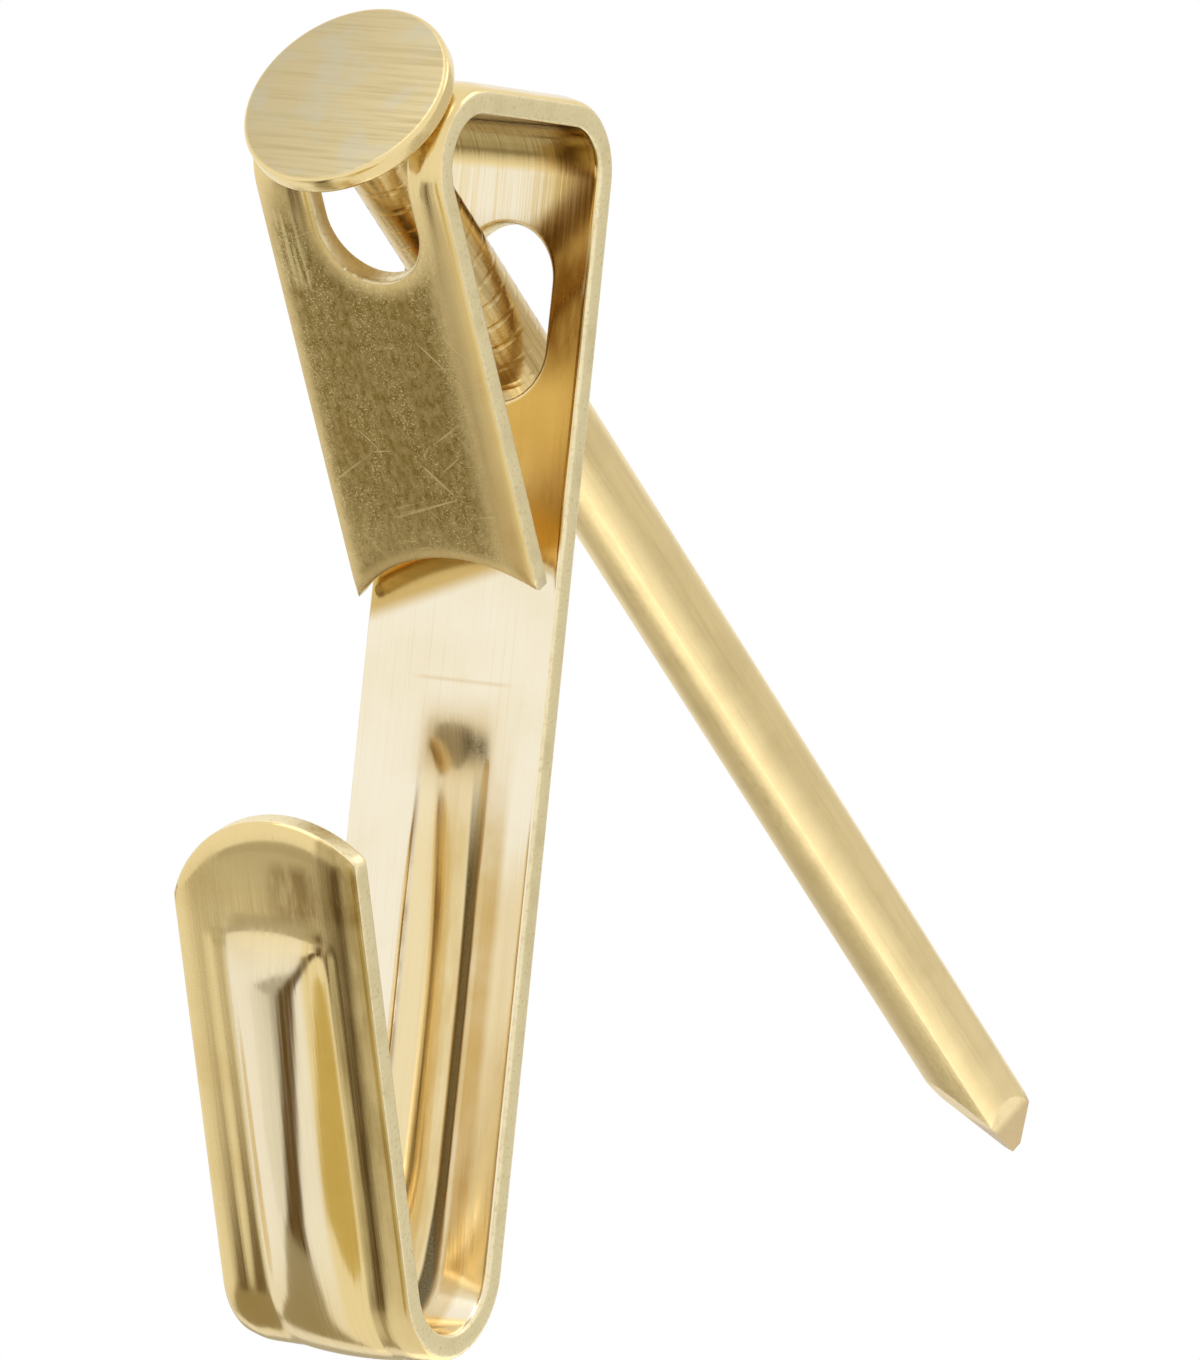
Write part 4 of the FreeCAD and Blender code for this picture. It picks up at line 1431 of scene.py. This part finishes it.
@dataclass
class Studio:
    """The plain floor, the soft lamps, the reflection cards and the camera."""

    image: tuple[int, int] = (1200, 1360)
    focal_pixels: float = 12205.85
    sensor: float = 36.0
    eye: Triple = (262.98 * MM, -402.15 * MM, -4.31 * MM)
    yaw: float = math.radians(32.581)
    pitch: float = math.radians(1.0)
    roll: float = math.radians(5.805)
    lit_by: float = 0.9
    looked_at: float = 1.0
    floor_height: float = -62.0 * MM
    floor_size: float = 520.0 * MM
    floor_steps: int = 96
    floor_colour: Colour = (0.92, 0.92, 0.91)
    floor_rough: float = 0.9
    card_lift: float = 2.0 * MM
    laid_cards: tuple[Card, ...] = (
        Card("card_dark", (-28.5 * MM, -120.0 * MM), (-9.0 * MM, -22.0 * MM), (0.11, 0.06, 0.008)),
        Card("card_low", (-31.0 * MM, -22.0 * MM), (-9.0 * MM, 6.0 * MM), (0.36, 0.31, 0.2)),
        Card("card_left", (-64.0 * MM, -49.0 * MM), (-28.5 * MM, -22.0 * MM), (0.85, 0.84, 0.8)),
        Card("card_far", (-64.0 * MM, -120.0 * MM), (-28.5 * MM, -49.0 * MM), (0.5, 0.48, 0.42)),
        Card("card_right", (14.0 * MM, -120.0 * MM), (60.0 * MM, -20.0 * MM), (0.65, 0.55, 0.25)),
        Card("card_wall", (-70.0 * MM, 20.0 * MM), (-12.0 * MM, 80.0 * MM), (0.48, 0.45, 0.36)),
        Card("card_back", (45.0 * MM, 40.0 * MM), (190.0 * MM, 190.0 * MM), (0.6, 0.58, 0.52)),
        Card("card_glow", (-10.0 * MM, 8.0 * MM), (22.0 * MM, 90.0 * MM), (1.5, 1.5, 1.45)),
    )
    side_card: Card = Card(
        "card_side", (-150.0 * MM, -90.0 * MM), (150.0 * MM, 90.0 * MM), (0.68, 0.66, 0.6))
    side_place: Triple = (140.0 * MM, 215.0 * MM, 30.0 * MM)
    lamps: tuple[Lamp, ...] = (
        Lamp("lamp_front", (-0.1, -0.3, 0.6), 0.5, 0.7),
        Lamp("lamp_back", (0.4, 0.35, 0.5), 0.3, 0.4),
    )

    def build(self) -> None:
        """Set up everything that isn't part of the object."""
        bpy.context.scene.view_settings.view_transform = "Standard"
        self.light_world()
        self.lay_floor()
        self.set_cards()
        for lamp in self.lamps:
            self.hang(lamp)
        self.place_camera()

    def light_world(self) -> None:
        """Make the surroundings white to the eye and softer as a light."""
        world = bpy.data.worlds.new("studio")
        bpy.context.scene.world = world
        world.use_nodes = True
        nodes, links = world.node_tree.nodes, world.node_tree.links
        path = nodes.new("ShaderNodeLightPath")
        seen = path.outputs["Is Camera Ray"]
        for ray in ("Is Glossy Ray", "Is Transmission Ray"):
            either = nodes.new("ShaderNodeMath")
            either.operation = "MAXIMUM"
            links.new(seen, either.inputs[0])
            links.new(path.outputs[ray], either.inputs[1])
            seen = either.outputs["Value"]
        strength = nodes.new("ShaderNodeMapRange")
        strength.inputs["To Min"].default_value = self.lit_by
        strength.inputs["To Max"].default_value = self.looked_at
        links.new(seen, strength.inputs["Value"])
        background = nodes["Background"]
        background.inputs["Color"].default_value = (1.0, 1.0, 1.0, 1.0)
        links.new(strength.outputs["Result"], background.inputs["Strength"])

    def lay_floor(self) -> None:
        """Lay the plain pale floor below the hook."""
        bm = bmesh.new()
        bmesh.ops.create_circle(bm, cap_ends=True, radius=self.floor_size / 2.0, segments=self.floor_steps)
        bmesh.ops.translate(bm, verts=bm.verts, vec=(0.0, 0.0, self.floor_height))
        surface = self.stage_mesh("floor", bm, "pale_floor")
        surface.inputs["Base Color"].default_value = (*self.floor_colour, 1.0)
        surface.inputs["Roughness"].default_value = self.floor_rough

    def stage_mesh(self, name: str, bm: bmesh.types.BMesh, finish: str,
                   hidden: tuple[str, ...] = ()) -> bpy.types.Node:
        """Turn a bmesh into an object that isn't part of the hook.

        Args:
            name: The object's name.
            bm: The mesh, in place. It is freed.
            finish: The name of its material.
            hidden: The kinds of ray that don't see it.

        Returns:
            The surface node of its new material.
        """
        mesh = bpy.data.meshes.new(name)
        bm.to_mesh(mesh)
        bm.free()
        thing = bpy.data.objects.new(name, mesh)
        bpy.context.scene.collection.objects.link(thing)
        for ray in hidden:
            setattr(thing, f"visible_{ray}", False)
        material = bpy.data.materials.new(finish)
        material.use_nodes = True
        mesh.materials.append(material)
        return material.node_tree.nodes["Principled BSDF"]

    def set_cards(self) -> None:
        """Set tinted cards where the metal would otherwise mirror only white."""
        level = Matrix.Translation((0.0, 0.0, self.floor_height + self.card_lift))
        for card in self.laid_cards:
            self.set_card(card, level)
        upright = Matrix.Rotation(-self.yaw, 4, "Z") @ Matrix.Rotation(math.pi / 2.0, 4, "X")
        self.set_card(self.side_card, Matrix.Translation(self.side_place) @ upright)

    def set_card(self, card: Card, stand: Matrix) -> None:
        """Lay or stand one card.

        Args:
            card: The card's corners and tone.
            stand: How the card is turned and moved from the plane z = 0.
        """
        wide, deep = card.high[0] - card.low[0], card.high[1] - card.low[1]
        middle = (card.low[0] + wide / 2.0, card.low[1] + deep / 2.0, 0.0)
        bm = bmesh.new()
        bmesh.ops.create_grid(bm, x_segments=1, y_segments=1, size=UNIT_HALF)
        bmesh.ops.scale(bm, verts=bm.verts, vec=(wide, deep, 1.0))
        bmesh.ops.transform(bm, matrix=stand @ Matrix.Translation(middle), verts=bm.verts)
        hidden = ("camera", "diffuse", "shadow", "transmission", "volume_scatter")
        surface = self.stage_mesh(card.name, bm, card.name, hidden)
        surface.inputs["Base Color"].default_value = (0.0, 0.0, 0.0, 1.0)
        surface.inputs["Emission Color"].default_value = (*card.tone, 1.0)
        surface.inputs["Emission Strength"].default_value = 1.0
        surface.inputs["Specular IOR Level"].default_value = 0.0

    def hang(self, lamp: Lamp) -> None:
        """Hang a lamp so that it faces the hook.

        Args:
            lamp: Its place, size and power.
        """
        data = bpy.data.lights.new(lamp.name, "AREA")
        data.size = lamp.size
        data.energy = lamp.power
        hung = bpy.data.objects.new(lamp.name, data)
        hung.location = lamp.place
        hung.rotation_euler = (-Vector(lamp.place)).to_track_quat("-Z", "Y").to_euler()
        bpy.context.scene.collection.objects.link(hung)

    def place_camera(self) -> None:
        """Put the camera where the photograph was taken from."""
        right = Vector((math.cos(self.yaw), math.sin(self.yaw), 0.0))
        back = Vector((math.sin(self.yaw) * math.cos(self.pitch),
                       -math.cos(self.yaw) * math.cos(self.pitch), math.sin(self.pitch)))
        up = back.cross(right)
        turned = Matrix((math.cos(self.roll) * right + math.sin(self.roll) * up,
                         -math.sin(self.roll) * right + math.cos(self.roll) * up, back)).transposed()
        data = bpy.data.cameras.new("camera")
        data.sensor_width = self.sensor
        data.lens = self.focal_pixels / max(self.image) * self.sensor
        camera = bpy.data.objects.new("camera", data)
        camera.matrix_world = Matrix.Translation(Vector(self.eye)) @ turned.to_4x4()
        bpy.context.scene.collection.objects.link(camera)
        bpy.context.scene.camera = camera


def main() -> None:
    """Build the hook, the nail and the studio."""
    logging.basicConfig(level=logging.INFO)
    for assembly in (HookStrip(), Nail()):
        piece = assembly.build()
        LOG.info("%s: %d faces", piece.name, len(piece.data.polygons))
    Studio().build()


if __name__ == "__main__":
    main()
